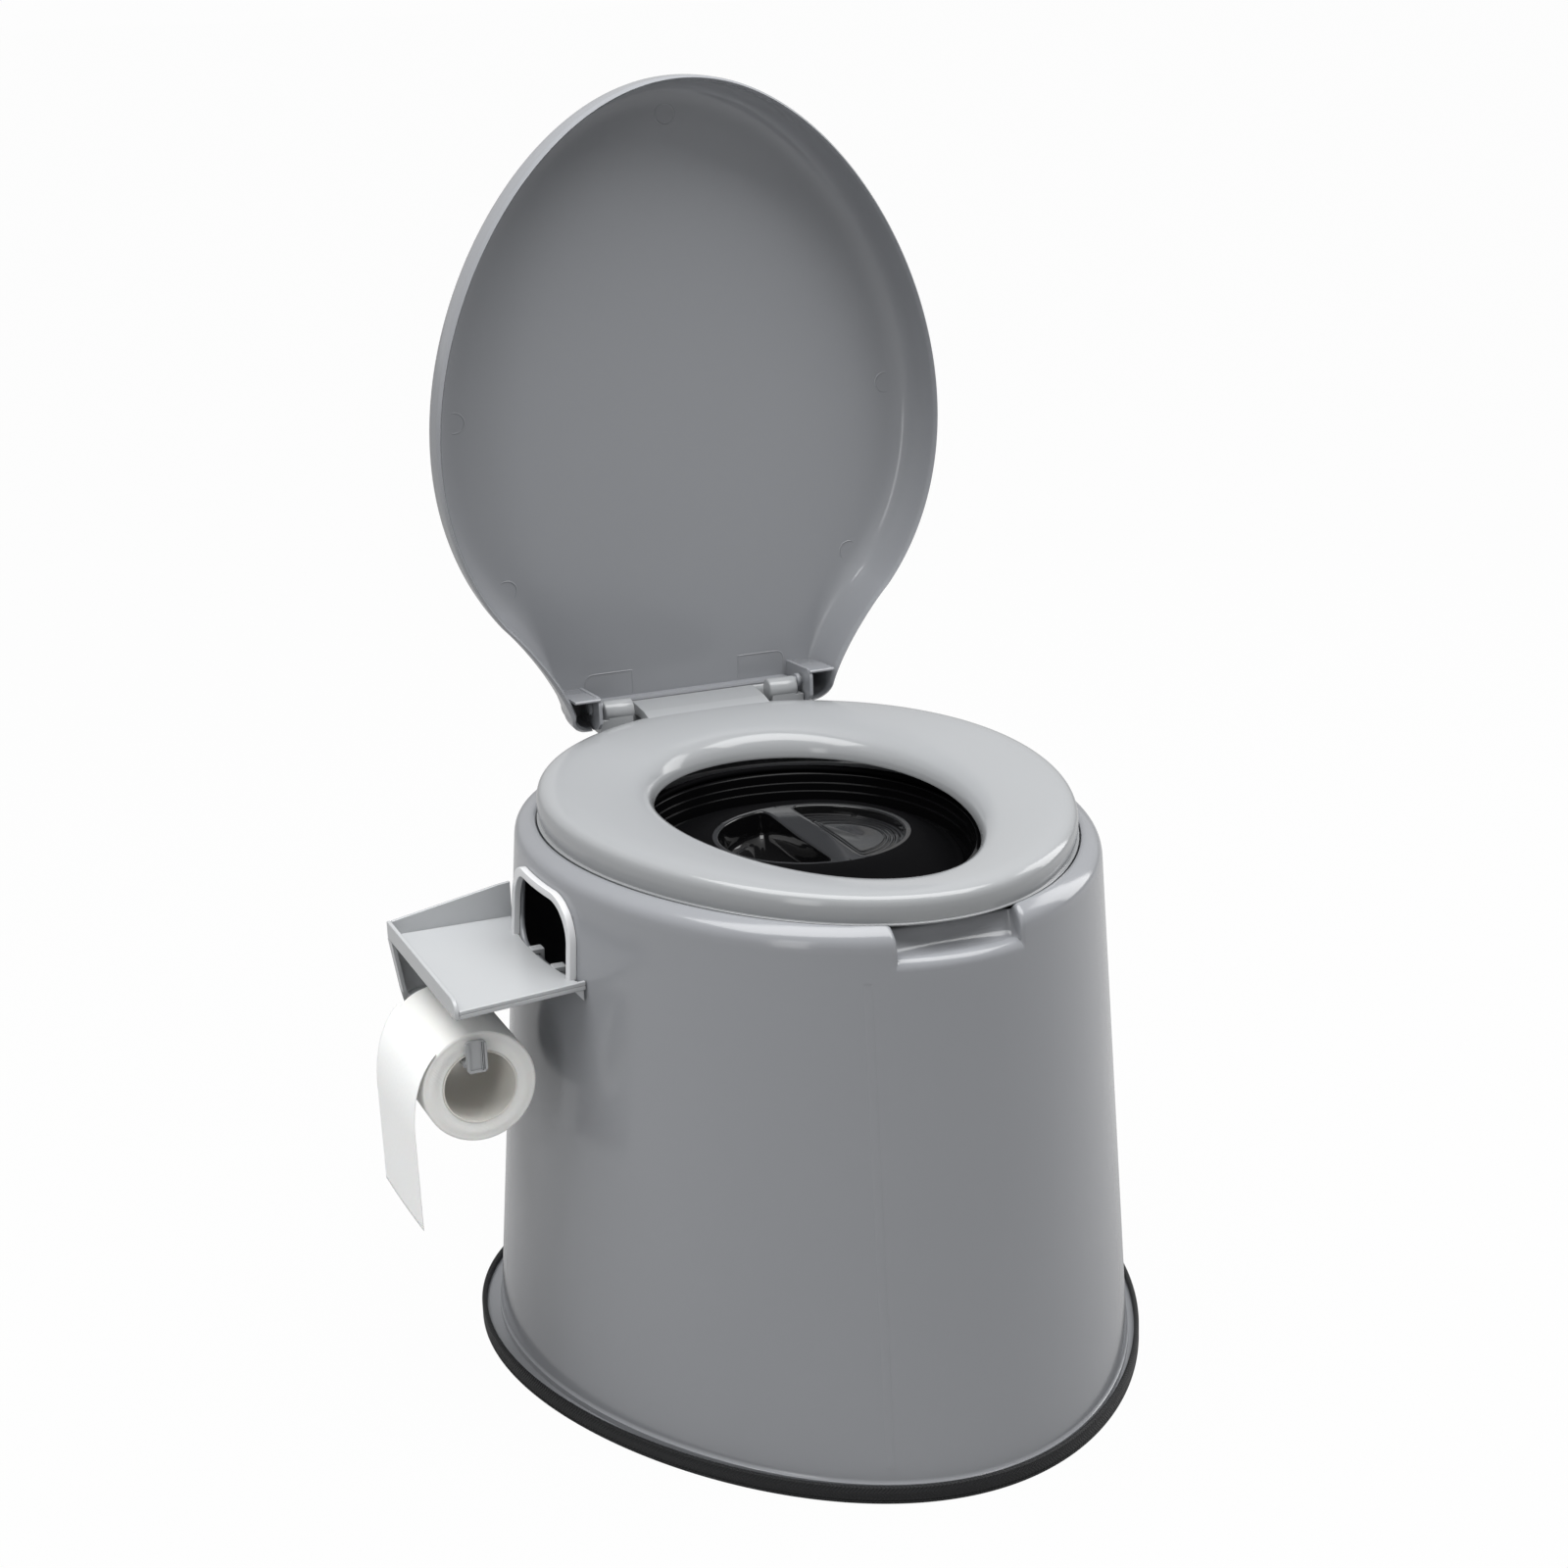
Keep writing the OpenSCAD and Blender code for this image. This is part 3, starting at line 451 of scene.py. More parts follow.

# %% [markdown]
# The notch has upright cheeks, and a grid shows a cheek well only where its columns are close. So
# the columns in front are spaced as given here: even across the notch's floor, then crowded along an arc,
# the straight cheek and a second arc. Behind the notch they are even again. Half the shell is made
# and the other half is its mirror image, so both cheeks are alike.

# %% Columns that know where the notch is
notch_half = 36.5 * MM
notch_round = 3.4 * MM
inside_share = np.linspace(0, 1, 12)[:-1]
cheek = np.linspace(0, 1, 19)
rest_share = np.linspace(0, 1, 128)[1:]


def front_columns(depth, half_width, radius):
    """x of the columns up to the notch's side and how much of its depth each has.

    Across the side c runs from 0 to 1: an arc from the notch's floor, a straight cheek, an arc out.
    """
    d = np.asarray(depth, float)[:, None]
    r = np.minimum(radius, d / 2)
    c = cheek[None, :]
    first, middle, last = np.clip(3 * c, 0, 1), np.clip(3 * c - 1, 0, 1), np.clip(3 * c - 2, 0, 1)
    swing_in, swing_out = first * np.pi / 2, last * np.pi / 2
    x = half_width - r * (1 - np.sin(swing_in)) + r * (1 - np.cos(swing_out)) + (radius - r) * (2 * c - 1)
    down = np.where(c < 1 / 3, d - r * (1 - np.cos(swing_in)), mix(d - r, r, middle))
    down = np.where(c > 2 / 3, r * (1 - np.sin(swing_out)), down)
    flat = np.broadcast_to((half_width - radius) * inside_share, (len(d), len(inside_share)))
    share = np.concatenate([np.ones_like(flat), down / np.maximum(d, 1e-9)], axis=1)
    return np.concatenate([flat, x], axis=1), share * (d > 1e-7)


def shell_rows(eggs, z, notch_curve=None, half_width=notch_half, radius=notch_round):
    """Rows of the shell, half round and then mirrored.

    notch_curve(x) gives the y and z of each row where it is inside the notch.
    """
    eggs, z = np.atleast_2d(eggs), np.atleast_1d(z)
    k, c, a, w = eggs[:, 2:3], eggs[:, 3:4], eggs[:, 1:2], eggs[:, 0:1]
    depth = np.zeros(len(z))
    if notch_curve is not None:
        side = egg_angle(eggs, np.full((len(z), 1), half_width))
        at_side = np.concatenate([c - a * np.cos(side), z[:, None]], axis=1)
        depth = np.linalg.norm(notch_curve(np.full((len(z), 1), half_width))[:, 0] - at_side, axis=1)
    x, share = front_columns(depth, half_width, radius)
    front = egg_angle(eggs, x)
    t = np.concatenate([front, mix(front[:, -1:], np.pi, rest_share[None, :])], axis=1)
    y, height = c - a * np.cos(t), np.broadcast_to(z[:, None], t.shape).copy()
    if notch_curve is not None:
        n = x.shape[1]
        aim = notch_curve(x)
        y[:, :n] = mix(y[:, :n], aim[..., 0], share)
        height[:, :n] = mix(height[:, :n], aim[..., 1], share)
    half = np.stack([w * np.sin(t) * (1 - k * np.cos(t)), y, height], axis=-1)
    half[:, -1, 0] = 0
    return mirrored(half)


print("columns round the shell:", 2 * (len(inside_share) + len(cheek) + len(rest_share)) - 2)

# %% [markdown]
# Two curves are drawn side by side: the shoulder's own section, and the section that replaces it
# inside the notch. Both have the same number of rows, so a row can move from one to the other.

# %% Shoulder and notch curves
shoulder = through([
    [0, 28], [0, 22], [0, 16], [0, 12.5], [0.018, 9.6], [0.055, 7.6], [0.11, 6], [0.18, 4.7], [0.26, 3.65],
    [0.35, 2.7], [0.45, 1.8], [0.55, 1], [0.63, 0.4], [0.69, 0.1], [0.76, 0], [0.84, 0.5], [0.885, 1.5],
    [0.9, 3.4], [0.915, 7.8], [1, 8.3]], 6)
under_shoulder = through([[0, 28], [0.05, 18], [0.16, 9.5], [0.36, 4.6], [0.66, 3.2], [0.8, 5],
                          [0.84, 10.6], [0.96, 11.1]], 7)
notch_start = 24.6 * MM


def spread(curve, count, bunch):
    """count points along a curve, evenly by length except for a few more near the start."""
    length = distance_along(curve)
    share = np.concatenate([np.linspace(0, bunch, 9)[:-1], np.linspace(bunch, 1, count - 8)])
    at = share * length[-1]
    return np.stack([np.interp(at, length, column) for column in curve.T], axis=1)


def notch_rows(lip, fixed, start_egg, start_z):
    """A function of x that gives y and z of each notch row.

    The first rows are a lip that follows the wall, given as steps [in, up]; the rest are fixed points.
    """
    def rows_at(x):
        front = start_egg[3] - start_egg[1] * np.cos(egg_angle(start_egg[None, :], x[:len(lip)]))
        y = np.concatenate([front + lip[:, :1], np.broadcast_to(fixed[:, :1], (len(fixed), x.shape[1]))])
        z = np.concatenate([start_z + lip[:, 1], fixed[:, 1]])[:, None]
        return np.stack([y, np.broadcast_to(z, y.shape)], axis=-1)
    return rows_at


lip_round = 7 * MM
notch_lip = arc((lip_round, 0), lip_round, 180, 90, 8)
notch_points = through(np.array([
    [-211.6, 317.2], [-209.2, 317.5], [-206.6, 318.9], [-204.6, 321.2], [-203, 324.2], [-201.8, 327.6],
    [-200.4, 330.2], [-198.8, 330.4], [-197.6, 327]]) * MM, 5)
notch_under = through(np.array([
    [-213, 312.6], [-206, 315], [-201, 319.4], [-198.4, 323], [-197, 324]]) * MM, 5)
shoulder_gap = wall_egg(crest_z) - ledge_egg
at_side, in_front = shoulder_gap[0] / MM, (shoulder_gap[1] - shoulder_gap[3]) / MM
print("notch:", round(notch_half * 2 / MM), "mm wide; shoulder:", np.round(in_front, 1),
      "mm wide in front and", np.round(at_side, 1), "at the side")

# %% [markdown]
# Now the rows are laid one after another: the foot with its small fillet, the wall, the shoulder
# over the notch, the ledge and the bucket's well, then back down on the inside at the wall's
# thickness. The last row joins the first, so the moulding is a closed skin.

# %% Build the shell
def shoulder_eggs(curve, inset):
    """Eggs and heights for points [share of the way from wall to ledge, millimetres below the crest]."""
    z = crest_z - curve[:, 1] * MM
    return mix(grown(wall_egg(z), -inset), ledge_egg, curve[:, :1]), z


def plain_rows(*levels):
    """Rows for a list of (egg, z) levels without a notch."""
    return shell_rows(np.array([e for e, _ in levels]), np.array([z for _, z in levels]))


floor_gap, foot_round, fillet_z = 3.5 * MM, 3.1 * MM, 9.85 * MM
foot_fillet = [(grown(foot_egg, foot_round * (1 - np.sin(lean))), fillet_z + foot_round * (1 - np.cos(lean)))
               for lean in np.radians(np.linspace(36.4, 90, 7))]
low_rows = plain_rows(
    (flange_egg, floor_gap), (flange_egg, 6.6 * MM), (grown(flange_egg, -0.4 * MM), 7 * MM),
    (grown(foot_egg, 1.35 * MM), 7.05 * MM), (grown(foot_egg, 1.26 * MM), 7.5 * MM), *foot_fillet)
wall_top = crest_z - 29 * MM
wall_z = np.linspace(foot_z, wall_top, 26)
wall_rows = shell_rows(wall_egg(wall_z), wall_z)

start_bunch, notch_bunch = 0.09, 0.03
outer_curve = spread(shoulder, 64, start_bunch)
outer_curve = outer_curve[outer_curve[:, 1] * MM <= notch_start]
outer_eggs, outer_z = shoulder_eggs(outer_curve, 0)
notch_fixed = spread(notch_points, len(outer_z) - len(notch_lip), notch_bunch)
outer_notch = notch_rows(notch_lip, notch_fixed, wall_egg(outer_z[0]), outer_z[0])
outer_rows = shell_rows(outer_eggs, outer_z, outer_notch)

well_inside, hole_inside, collar_z = grown(well_egg, wall), grown(hole_egg, 2.5 * MM), shelf_z - 12 * MM
well_rows = plain_rows(
    (grown(well_egg, 1.2 * MM), ledge_z), (grown(well_egg, 0.3 * MM), ledge_z - 0.3 * MM),
    (well_egg, ledge_z - 1.2 * MM), (well_egg, shelf_z + 0.4 * MM), (grown(well_egg, -0.5 * MM), shelf_z),
    (grown(hole_egg, 0.8 * MM), shelf_z), (hole_egg, shelf_z - 0.8 * MM), (hole_egg, collar_z),
    (hole_inside, collar_z), (hole_inside, shelf_z - wall), (well_inside, shelf_z - wall),
    (well_inside, crest_z - 7.6 * MM))

inner_curve = spread(under_shoulder, 40, start_bunch)
inner_eggs, inner_z = shoulder_eggs(inner_curve, wall)
under_lip = np.stack([np.linspace(0, 6, 6), np.linspace(0, 1.6, 6)], axis=1) * MM
under_fixed = spread(notch_under, len(inner_z) - len(under_lip), notch_bunch)
inner_notch = notch_rows(under_lip, under_fixed, grown(wall_egg(inner_z[0]), -wall), inner_z[0])
inner_rows = shell_rows(inner_eggs, inner_z, inner_notch, notch_half + 2.5 * MM, 1 * MM)
inside_wall_z = np.linspace(wall_top, floor_gap, 14)
inside_rows = shell_rows(grown(wall_egg(inside_wall_z), -wall), inside_wall_z)
shell_grid = np.concatenate([low_rows, wall_rows, outer_rows, well_rows, inner_rows[::-1], inside_rows])
shell = surface("shell", shell_grid, wrap_rows=True, crease=38)
print("shell grid:", shell_grid.shape)

# %% [markdown]
# The wall has a rounded opening behind the side holder. It is easiest to cut it with a Boolean, as a
# jigsaw would: a rounded bar is pushed through the wall and taken away.

# %% Cut the hand hole
def round_corners(y0, z0, y1, z1, r, steps=10):
    """A rectangle with round corners as (n, 2) points, anticlockwise."""
    centres = [(y1 - r, z0 + r, -90), (y1 - r, z1 - r, 0), (y0 + r, z1 - r, 90), (y0 + r, z0 + r, 180)]
    return np.concatenate([arc((y, z), r, start, start + 90, steps) for y, z, start in centres])


def prism(outline, axis, low, high):
    """An outline drawn as (y, z), (x, z) or (x, y), carried along the axis left out: points and faces."""
    outline = np.asarray(outline, float)
    area = np.sum(outline[:, 0] * np.roll(outline[:, 1], -1) - outline[:, 1] * np.roll(outline[:, 0], -1))
    if (area > 0) == (axis == "y"):
        outline = outline[::-1]
    count = len(outline)
    place = {"x": (1, 2, 0), "y": (0, 2, 1), "z": (0, 1, 2)}[axis]
    points = np.zeros((2 * count, 3))
    points[:, place[0]] = np.tile(outline[:, 0], 2)
    points[:, place[1]] = np.tile(outline[:, 1], 2)
    points[:, place[2]] = np.repeat([low, high], count)
    i = np.arange(count)
    after = (i + 1) % count
    sides = np.stack([i, after, after + count, i + count], axis=1)
    return points, [sides, i[::-1][None, :], (i + count)[None, :]]


def join(*parts):
    """Several (points, faces) parts as one."""
    starts = np.cumsum([0] + [len(p) for p, _ in parts[:-1]])
    return np.vstack([p for p, _ in parts]), [f + s for (_, faces), s in zip(parts, starts) for f in faces]


def solid(name, *parts, bevel=0.0):
    """An object from parts, with its edges rounded by a Bevel modifier of the given width."""
    sharp = np.radians(35)
    mesh = bpy.data.meshes.new(name)
    fill_mesh(mesh, *join(*parts))
    mesh.set_sharp_from_angle(angle=sharp)
    thing = add_object(name, mesh)
    if bevel:
        soft = thing.modifiers.new("soft edges", "BEVEL")
        soft.width, soft.segments = bevel, 3
        soft.limit_method, soft.angle_limit = "ANGLE", sharp
        soft.harden_normals = True
    return thing


def settle(thing):
    """Turns an object's modifiers into its own mesh."""
    mesh = bpy.data.meshes.new_from_object(thing.evaluated_get(bpy.context.evaluated_depsgraph_get()))
    thing.modifiers.clear()
    thing.data = mesh


tray_under = corners("holder_tray")[0][2] + 7 * MM
tray_top = tray_under + 2.6 * MM
frame_low, frame_high = corners("holder_back_frame")
arch_inner_back = frame_high[1] - 8 * MM
hole_front, hole_back = frame_low[1] + 6.2 * MM, arch_inner_back + 1 * MM
hole_outline = round_corners(hole_front, tray_under - 0.3 * MM, hole_back, frame_high[2], 18 * MM)
cutter = solid("cutter", prism(hole_outline, "x", -0.23, -0.12))
cut = shell.modifiers.new("hand hole", "BOOLEAN")
cut.object, cut.operation = cutter, "DIFFERENCE"
settle(shell)
bpy.data.objects.remove(cutter)
finish_with(shell, shell_plastic, "shell_grey", "body", "body_shell")

# %% [markdown]
# Where two halves of the mould met, the wall keeps a witness: a flat band a few millimetres wide that
# stands a quarter of a millimetre proud, beside the notch and down to the flange. It is a narrow grid
# laid on the wall's own formula, its long edges just under the wall so that no gap shows.

# %% Mould witness on the wall
witness_middle, witness_half = 52.5 * MM, 2.4 * MM
witness_proud, witness_sunk = 0.32 * MM, 0.06 * MM
across_witness = np.linspace(-1, 1, 9)
witness_z = np.linspace(20 * MM, crest_z - 30 * MM, 60)[:, None]
witness_eggs = wall_egg(witness_z[:, 0])
witness_shape = (len(witness_z), len(across_witness))
witness_x = np.broadcast_to(witness_middle + witness_half * across_witness, witness_shape)
off_wall = witness_proud * (1 - across_witness**6) - witness_sunk
on_wall = witness_eggs[:, 3:] - witness_eggs[:, 1:2] * np.cos(egg_angle(witness_eggs, witness_x))
witness_grid = np.stack([-witness_x, on_wall - off_wall, np.broadcast_to(witness_z, witness_shape)], axis=-1)
witness = surface("mould_witness", witness_grid, wrap_columns=False, crease=60, flip=True)
finish_with(witness, shell_plastic, "shell_grey", "body")

# %% [markdown]
# ## The rubber edge
# A strip of rubber with a U section is pushed over the shell's flange, so that the base does not
# scratch a floor. The section is a closed chain of points [out from the flange, height], carried
# round the flange's egg. The ribs need to follow the strip, so each face corner gets a UV in metres.

# %% Edge strip
def swept_on_egg(name, chain, egg, columns, uv_name):
    """A closed chain of [out, height] carried round an egg: the chain's points are the egg grown by out.

    The UV map gives the distance along the egg and the distance across the chain, in metres.
    """
    rows = np.column_stack([grown(egg, chain[:, 0]), chain[:, 1]])
    grid = egg_rings(rows, np.arange(columns) * TAU / columns)
    thing = surface(name, grid, wrap_rows=True)
    across = distance_along(np.vstack([chain, chain[:1]]))
    along = distance_along(np.vstack([grid[0], grid[0, :1]]))
    j, i = np.meshgrid(np.arange(len(chain)), np.arange(columns), indexing="ij")
    face_corners = [(j, i), (j, i + 1), (j + 1, i + 1), (j + 1, i)]
    uv = np.stack([np.stack([along[b], across[a]], axis=-1) for a, b in face_corners], axis=2)
    layer = thing.data.uv_layers.new(name=uv_name)
    layer.data.foreach_set("uv", uv.reshape(-1, 2).astype(np.float32).ravel())
    return thing


strip_chain = np.array([
    [-9, 0], [-1, 0], [-0.55, 0.15], [-0.05, 0.6], [0, 1.2], [-0.05, 1.75], [-0.5, 2.1], [-0.5, 2.35],
    [-0.05, 2.7], [0, 3.4], [0, 9.3], [-0.25, 10.1], [-0.9, 10.5], [-2.5, 10.5], [-3, 10.2], [-3.1, 9.6],
    [-3.1, 7.08], [-2, 7.06], [-2, 3.5], [-9, 3.5]]) * MM
strip = swept_on_egg("edge_strip", strip_chain, strip_egg, 720, "along")
finish_with(strip, rubber, "edge_rubber", "body", "base_edge_strip")

# %% [markdown]
# ## The seat
# The seat is one hollow moulding, open underneath. Its section falls steeply outside, hardly at all
# over the top and then rolls down into the opening; going round, it is highest at the back and lower
# at the front, where the legs go. The chain holds [share of the way to the opening, share of the
# crown's height], so one section serves all the way round.

# %% Seat ring
opening_egg = seat_egg + np.array([-67.5 * MM, -59 * MM, 0.005, -10.5 * MM])
seat_fall = 11 * MM
seat_foot = [[0.1, 0], [0.075, 0], [0.07, 0.01], [0.07, 0.085], [0.065, 0.09], [0.004, 0.09], [0, 0.097],
             [0, 0.122]]
seat_outside = through([
    [0.004, 0.132], [0.021, 0.143], [0.022, 0.17], [0.012, 0.34], [0.006, 0.52], [0.012, 0.69],
    [0.035, 0.825], [0.08, 0.92], [0.155, 0.98], [0.28, 1], [0.5, 0.955], [0.7, 0.87], [0.84, 0.775],
    [0.92, 0.66], [0.965, 0.53], [0.99, 0.39], [1, 0.25]], 6)
seat_edge = [[0.998, 0.215], [0.985, 0.21]]
seat_inside = through([
    [0.968, 0.23], [0.95, 0.4], [0.9, 0.54], [0.82, 0.66], [0.7, 0.75], [0.5, 0.84], [0.3, 0.885],
    [0.2, 0.85], [0.125, 0.74], [0.1, 0.48], [0.1, 0.03]], 4)
seat_chain = np.vstack([seat_foot, seat_outside, seat_edge, seat_inside])
ring_turn = np.arange(288) * TAU / 288
seat_rows = np.concatenate([mix(seat_egg, opening_egg, seat_chain[:, :1]), seat_chain[:, 1:]], axis=1)
seat_grid = egg_rings(seat_rows, ring_turn)
crown = seat_high[2] - seat_fall * (1 + np.cos(ring_turn)) / 2
seat_grid[..., 2] = seat_under + seat_grid[..., 2] * (crown - seat_under)
seat = surface("seat", seat_grid, wrap_rows=True, crease=42)
finish_with(seat, seat_plastic_painted_top_light, "seat_grey", "seat", "seat_ring")

# %% [markdown]
# ## The lid
# The lid is a shallow dish. It is easiest to describe lying flat with the hinge's axis at the origin:
# u is across, v runs from the front tip (negative) to the back and n is height. Its outline is an egg
# that turns into a short neck with a straight back edge. The skirt is a quarter of a superellipse, so
# it leaves the rim almost straight up and turns quickly into the flat panel. At the end the points
# are turned about the hinge to the angle at which the lid stands open.

# %% Lid outline
hinge_axis = np.array(joint_places["lid_hinge"]["pos_m"])
lid_open = np.radians(88.2)
lid_half_width, lid_reach = 168.5 * MM, 198.9 * MM
lid_egg = np.array([lid_half_width, lid_reach, seat_narrowing, -lid_reach])
rim_n, panel_n, lid_wall = -14.4 * MM, 25.2 * MM, 2.6 * MM
neck_angle, neck_half, neck_low = np.radians(134), 91.5 * MM, 15 * MM
neck_round, step_out, step_in, lip_back = 12 * MM, 75.5 * MM, 70 * MM, 5 * MM
# The neck is a cubic: its first handle starts on the egg, its second ends above the round corner.
neck_leave, neck_arrive = np.array([-14, 14.4]) * MM, np.array([6, -20]) * MM
neck_taper, step_gap, step_lean = 0.12, 0.8 * MM, 0.935
egg_part = np.linspace(0, neck_angle, 130)
neck_part = np.linspace(0, 1, 34)[1:, None]
arc_part = np.linspace(0, np.pi / 2, 12)[1:]
step_part = np.linspace(0, 1, 7)[1:, None]
back_part = np.linspace(0, 1, 22)[1:, None]


def lid_outlines(inset, out):
    """Half outlines (rows, columns, 2): an egg, a cubic neck, a round corner, a step and a straight edge.

    inset draws the egg inwards; out moves the corner, the step and the back edge outwards.
    """
    inset, out = np.broadcast_arrays(np.atleast_1d(inset).astype(float), np.atleast_1d(out).astype(float))
    inset, out = inset[:, None], out[:, None]
    w, a = lid_egg[0] - inset, lid_egg[1] - inset
    egg = np.stack([w * np.sin(egg_part) * (1 - lid_egg[2] * np.cos(egg_part)),
                    lid_egg[3] - a * np.cos(egg_part)], axis=-1)
    corner = neck_half - np.minimum(inset, lid_wall) - neck_taper * np.maximum(inset - lid_wall, 0)
    low, up = neck_low - lid_wall + out, lip_back - lid_wall + out
    p, end = egg[:, -1:], np.stack([corner, low - neck_round], axis=-1)
    neck = bezier(p, p + neck_leave, end + neck_arrive, end, neck_part[None])
    bend = end + neck_round * np.stack([np.cos(arc_part) - 1, np.sin(arc_part)], axis=-1)
    step_x = np.minimum(step_out + lid_wall - out, corner - neck_round - step_gap)
    outer = np.stack([step_x, low], axis=-1)
    inner = np.stack([np.minimum(step_in + lid_wall - out, step_lean * step_x), up], axis=-1)
    across = mix(bend[:, -1:], outer, step_part[None, :3] * 2)
    step = mix(outer, inner, step_part[None])
    back = inner * (1 - back_part[None] * np.array([1, 0]))
    return np.concatenate([egg, neck, bend, across, step, back], axis=1)


# How far round to the lower back edge a point is: 0 on the egg and neck, 1 on the straight back edge.
corner_share = 0.32
on_back = np.concatenate([
    np.zeros(len(egg_part) + len(neck_part)), corner_share * np.sin(arc_part), np.full(3, corner_share),
    mix(corner_share, 1, step_part[:, 0] ** 0.5), np.ones(len(back_part))])
print("lid outline points:", 2 * len(on_back) - 2)

# %% [markdown]
# Rings of that outline make the lid: from the middle of the inner face out to the skirt, down to the
# rim, round it and back over the outer face. Each skirt ring knows how far up the superellipse it is,
# and the rings crowd together at the rim and at the turn into the panel, where the light changes.

# %% Lid surface
skirt_in, skirt_power, lip_depth = 28 * MM, 3.6, 8.5 * MM
dome, dome_spread = 1.5 * MM, np.array([135, 178]) * MM
panel_middle = np.array([0, 10 * MM - lid_reach])


def skirt(q, t):
    """Rings of the skirt: q is degrees up the superellipse, t 0 inside and the wall's thickness outside."""
    q, t = np.radians(np.asarray(q, float)), np.broadcast_to(t, np.shape(q)).astype(float)
    rise, drawn_in = np.sin(q) ** (2 / skirt_power), 1 - np.cos(q) ** (2 / skirt_power)
    flat = lid_outlines(mix(lid_wall - t, skirt_in, drawn_in), t)
    depth = mix(panel_n - rim_n, lip_depth, on_back)[None, :] + t[:, None]
    height = panel_n + t[:, None] - depth * (1 - rise[:, None])
    return np.concatenate([flat, height[..., None]], axis=-1)


def domed(flat):
    """Height of the panel at (u, v): d (1 - r r)^2, where r is 1 on an ellipse about the middle."""
    r = np.clip(np.linalg.norm((flat - panel_middle) / dome_spread, axis=-1), 0, 1)
    return panel_n + dome * (1 - r**2) ** 2


def panel(s, t):
    """Rings of the panel from the skirt's end to the middle, slightly domed."""
    s = np.asarray(s)[:, None, None]
    flat = mix(lid_outlines(skirt_in, t), panel_middle, s)
    return np.concatenate([flat, domed(flat)[..., None] + t], axis=-1)


up_skirt = np.array([0.35, 1.5, 3.5, 6, 9, 13, 18, 24, 31, 38, 45, 52, 58, 63.5, 68, 72, 75.5, 78.5, 81, 83,
                     85, 86.7, 88.2, 89.3, 90])
across_panel = np.array([0.03, 0.08, 0.16, 0.28, 0.45, 0.65, 0.85])
rim_ring = skirt([0.0], lid_wall / 2)
flat_lid = mirrored(np.concatenate([
    panel(across_panel[::-1], 0), skirt(up_skirt[::-1], 0), rim_ring,
    skirt(up_skirt, lid_wall), panel(across_panel, lid_wall)]))
inner_tip = np.array([*panel_middle, panel_n + dome])
outer_tip = inner_tip + np.array([0, 0, lid_wall])


def place_on_hinge(p):
    """Turns flat points (u, v, n) about the hinge's axis by the opening angle and puts them on the hinge."""
    p = np.asarray(p, float)
    c, s = np.cos(-lid_open), np.sin(-lid_open)
    u, v, n = p[..., 0], p[..., 1], p[..., 2]
    return np.stack([u, v * c - n * s, v * s + n * c], axis=-1) + hinge_axis


lid = surface("lid", place_on_hinge(flat_lid), first_tip=place_on_hinge(inner_tip),
              last_tip=place_on_hinge(outer_tip), crease=44)
finish_with(lid, shell_plastic, "shell_grey", "lid", "lid_shell")

# %% [markdown]
# ## The hinge
# The seat carries a flat block with a barrel at each end; the lid carries two ears, each with a thin
# web for the pin and a shelf that runs out to the skirt. Barrels, collars and pin heads are turned
# shapes, so each is a short profile carried round the hinge's axis. The block, webs and shelves are
# outlines carried along the axis with soft edges.

# %% Turned shapes
def turned(profile, y, z):
    """Points and faces for a chain of [x, radius] carried round the line through (y, z) along X."""
    t = np.arange(64) * TAU / 64
    x, r = profile[:, :1], profile[:, 1:]
    grid = np.stack([x + 0 * t, y + r * np.cos(t), z + r * np.sin(t)], axis=-1)
    return skin(grid, first_tip=[x[0, 0], y, z], last_tip=[x[-1, 0], y, z], flip=x[-1, 0] < x[0, 0])


hinge_y, hinge_z = hinge_axis[1], hinge_axis[2]
knuckle_y, knuckle_z, knuckle_r = hinge_y - 0.8 * MM, hinge_z - 3.6 * MM, 7.2 * MM
knuckle = np.array([[47.6, -1.6], [47.9, -0.5], [48.8, 0], [66.2, 0], [67.4, -0.6], [67.9, -2]]) * MM
knuckle[:, 1] += knuckle_r
foot = np.array([[174.6, 351], [188, 351], [188, 364], [174.6, 364]]) * MM
low_foot = np.minimum(foot, [1, 360.8 * MM])
knuckles = []
for side in (-1, 1):
    knuckles += [turned(knuckle * np.array([side, 1]), knuckle_y, knuckle_z),
                 prism(foot, "x", *sorted(side * np.array([49, 66]) * MM)),
                 prism(low_foot, "x", *sorted(side * np.array([65, 71.6]) * MM))]
block = rounded(np.array([
    [168, 358], [190, 358], [190, 353], [197, 353], [197.6, 365], [195, 366], [172, 364.2], [160, 361],
    [158, 357]]) * MM, 1 * MM, 2, closed=True)
under = np.array([[191, 351], [196, 351], [196, 365.6], [194, 365.6], [191, 361]]) * MM
block_half, under_half = 42.6 * MM, 71 * MM
hinge_block = solid("hinge_block", prism(block, "x", -block_half, block_half),
                    prism(under, "x", -under_half, under_half), *knuckles, bevel=0.5 * MM)
finish_with(hinge_block, seat_plastic_painted_top_light, "hinge_grey", "seat", "seat_hinge_block")

# %% [markdown]
# An ear is drawn flat, in the lid's own frame, and turned with it: the web is an upright plate with a
# rounded nose, and the shelf a thin strip that joins it to the skirt. The pin is one turned shape
# with a collar on either side of the web. The left side is the right one with its x turned round.

